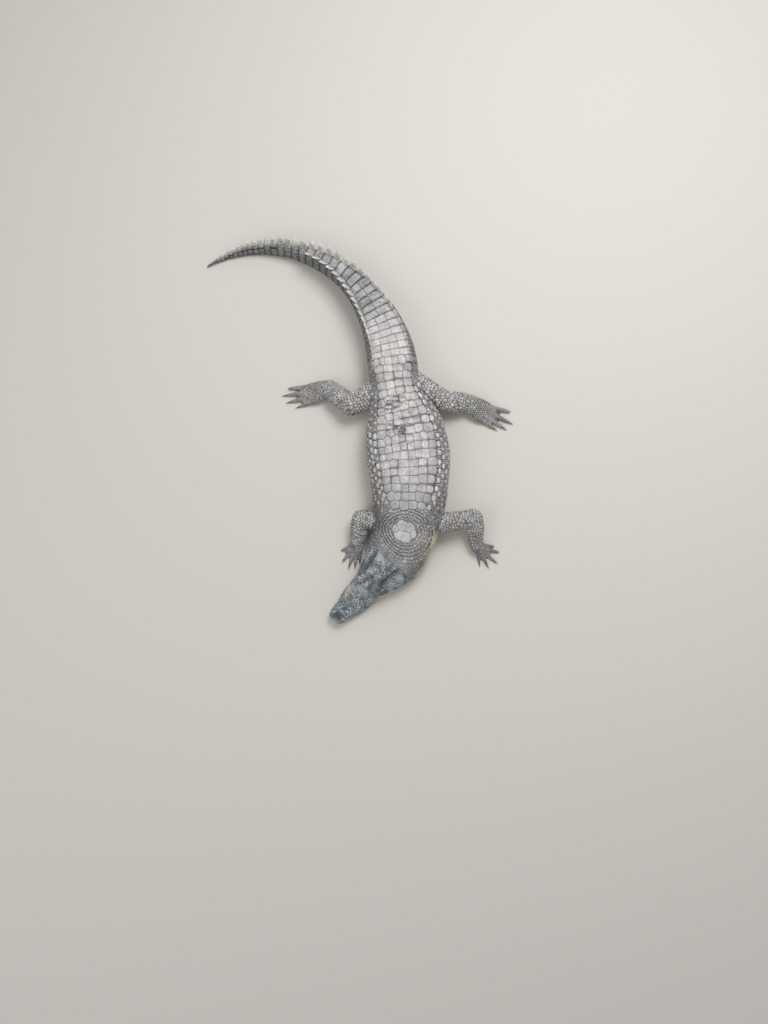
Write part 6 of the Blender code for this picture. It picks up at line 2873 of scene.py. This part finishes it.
# --- studio --------------------------------------------------------------------------------
@dataclass
class Studio:
    """Floor, soft light and the camera above the animal."""

    floor_size: float = 14.0
    floor_drop: float = 0.0002
    camera_at: tuple[float, float, float] = (0.24231, -0.49835, 2.8)
    right: tuple[float, float, float] = (0.99870567, 0.00177702, -0.05083136)
    upward: tuple[float, float, float] = (0.00177702, 0.99756027, 0.0697879)
    lens: float = 27.04
    sensor: float = 36.0
    lit_at: tuple[float, float, float] = (0.1, 0.0, 0.0)
    key_at: tuple[float, float, float] = (1.2, 1.6, 3.0)
    key_power: float = 95.0
    key_size: float = 1.6
    fill_at: tuple[float, float, float] = (-2.2, -1.4, 2.8)
    fill_share: float = 0.30
    fill_size: float = 2.4
    sky: tuple[float, float, float] = (0.95, 0.97, 1.0)
    sky_strength: float = 0.62

    def build(self) -> None:
        """Makes everything that isn't part of the animal."""
        half = self.floor_size / 2
        corners = [(x * half, y * half, 0.0) for x, y in ((-1, -1), (1, -1), (1, 1), (-1, 1))]
        data = bpy.data.meshes.new("floor")
        data.from_pydata(corners, [], [(0, 1, 2, 3)])
        data.materials.append(FloorFinish().make())
        floor = linked("floor", data)
        floor.location.z = -self.floor_drop
        floor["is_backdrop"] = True
        self.light("key", self.key_at, self.key_power, self.key_size)
        self.light("fill", self.fill_at, self.key_power * self.fill_share, self.fill_size)
        world = bpy.data.worlds.new("studio")
        world.use_nodes = True
        ground = world.node_tree.nodes["Background"]
        ground.inputs["Color"].default_value = (*self.sky, 1.0)
        ground.inputs["Strength"].default_value = self.sky_strength
        bpy.context.scene.world = world
        bpy.context.scene.view_settings.view_transform = "Standard"
        self.camera()

    def light(self, name: str, at: tuple[float, float, float], power: float, size: float) -> None:
        """Makes one soft light that faces the animal.

        Args:
            name: its name.
            at: where it hangs.
            power: its power in watts.
            size: the side of its panel.
        """
        data = bpy.data.lights.new(name, "AREA")
        data.energy = power
        data.size = size
        lamp = linked(name, data)
        lamp.location = at
        lamp.rotation_euler = (Vector(self.lit_at) - Vector(at)).to_track_quat("-Z", "Y").to_euler()

    def camera(self) -> None:
        """Makes the camera that looks almost straight down."""
        data = bpy.data.cameras.new("camera")
        data.lens = self.lens
        data.sensor_width = self.sensor
        camera = linked("camera", data)
        right, upward = Vector(self.right), Vector(self.upward)
        backward = right.cross(upward)
        turn = Matrix((right, upward, backward)).transposed().to_4x4()
        camera.matrix_world = Matrix.Translation(self.camera_at) @ turn
        bpy.context.scene.camera = camera


# --- all together --------------------------------------------------------------------------
CAD_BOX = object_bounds()
FLESH = [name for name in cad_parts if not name.startswith("eye_")]


def fit(piece: bpy.types.Object, slot: str, material: bpy.types.Material) -> bpy.types.Object:
    """Gives a piece its finish and sets it on the body.

    Args:
        piece: the piece.
        slot: the slot of its finish.
        material: the finish.

    Returns:
        The same piece.
    """
    piece.data.materials.clear()
    piece.data.materials.append(material)
    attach(piece, "root")
    data = piece.data
    data.calc_loop_triangles()
    log.info("%s: %d triangles, slot %s", piece.name, len(data.loop_triangles), slot)
    return piece


def main() -> None:
    """Builds the classes in order and reports each piece."""
    logging.basicConfig(level=logging.INFO, format="%(name)s: %(message)s")
    Studio().build()
    animal = Animal()
    marks = Markings()
    hide = HideFinish().make()
    skin = Skin(animal)
    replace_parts(fit(skin.build(marks), "hide", hide), *FLESH)
    bed = Bed.settled(Planter(animal, marks.crest).all(), skin)
    log.info("%d scales", len(bed.seeds.points))
    for piece, slot in Coat(bed, skin, marks).pieces():
        fit(piece, slot, hide)
    fit(Crest(animal, marks.crest).build(marks, skin), "hide", hide)
    fit(Claws(animal).build(), "claw", HornFinish().make())
    fit(Teeth(animal).build(), "tooth", ToothFinish().make())
    wet = EyeFinish().make()
    for eye in Eye.pair(animal):
        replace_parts(fit(eye.ball(), "eyeball", wet), f"eye_{eye.name}")
        fit(eye.lids(marks), "hide", hide)


if __name__ == "__main__":
    main()
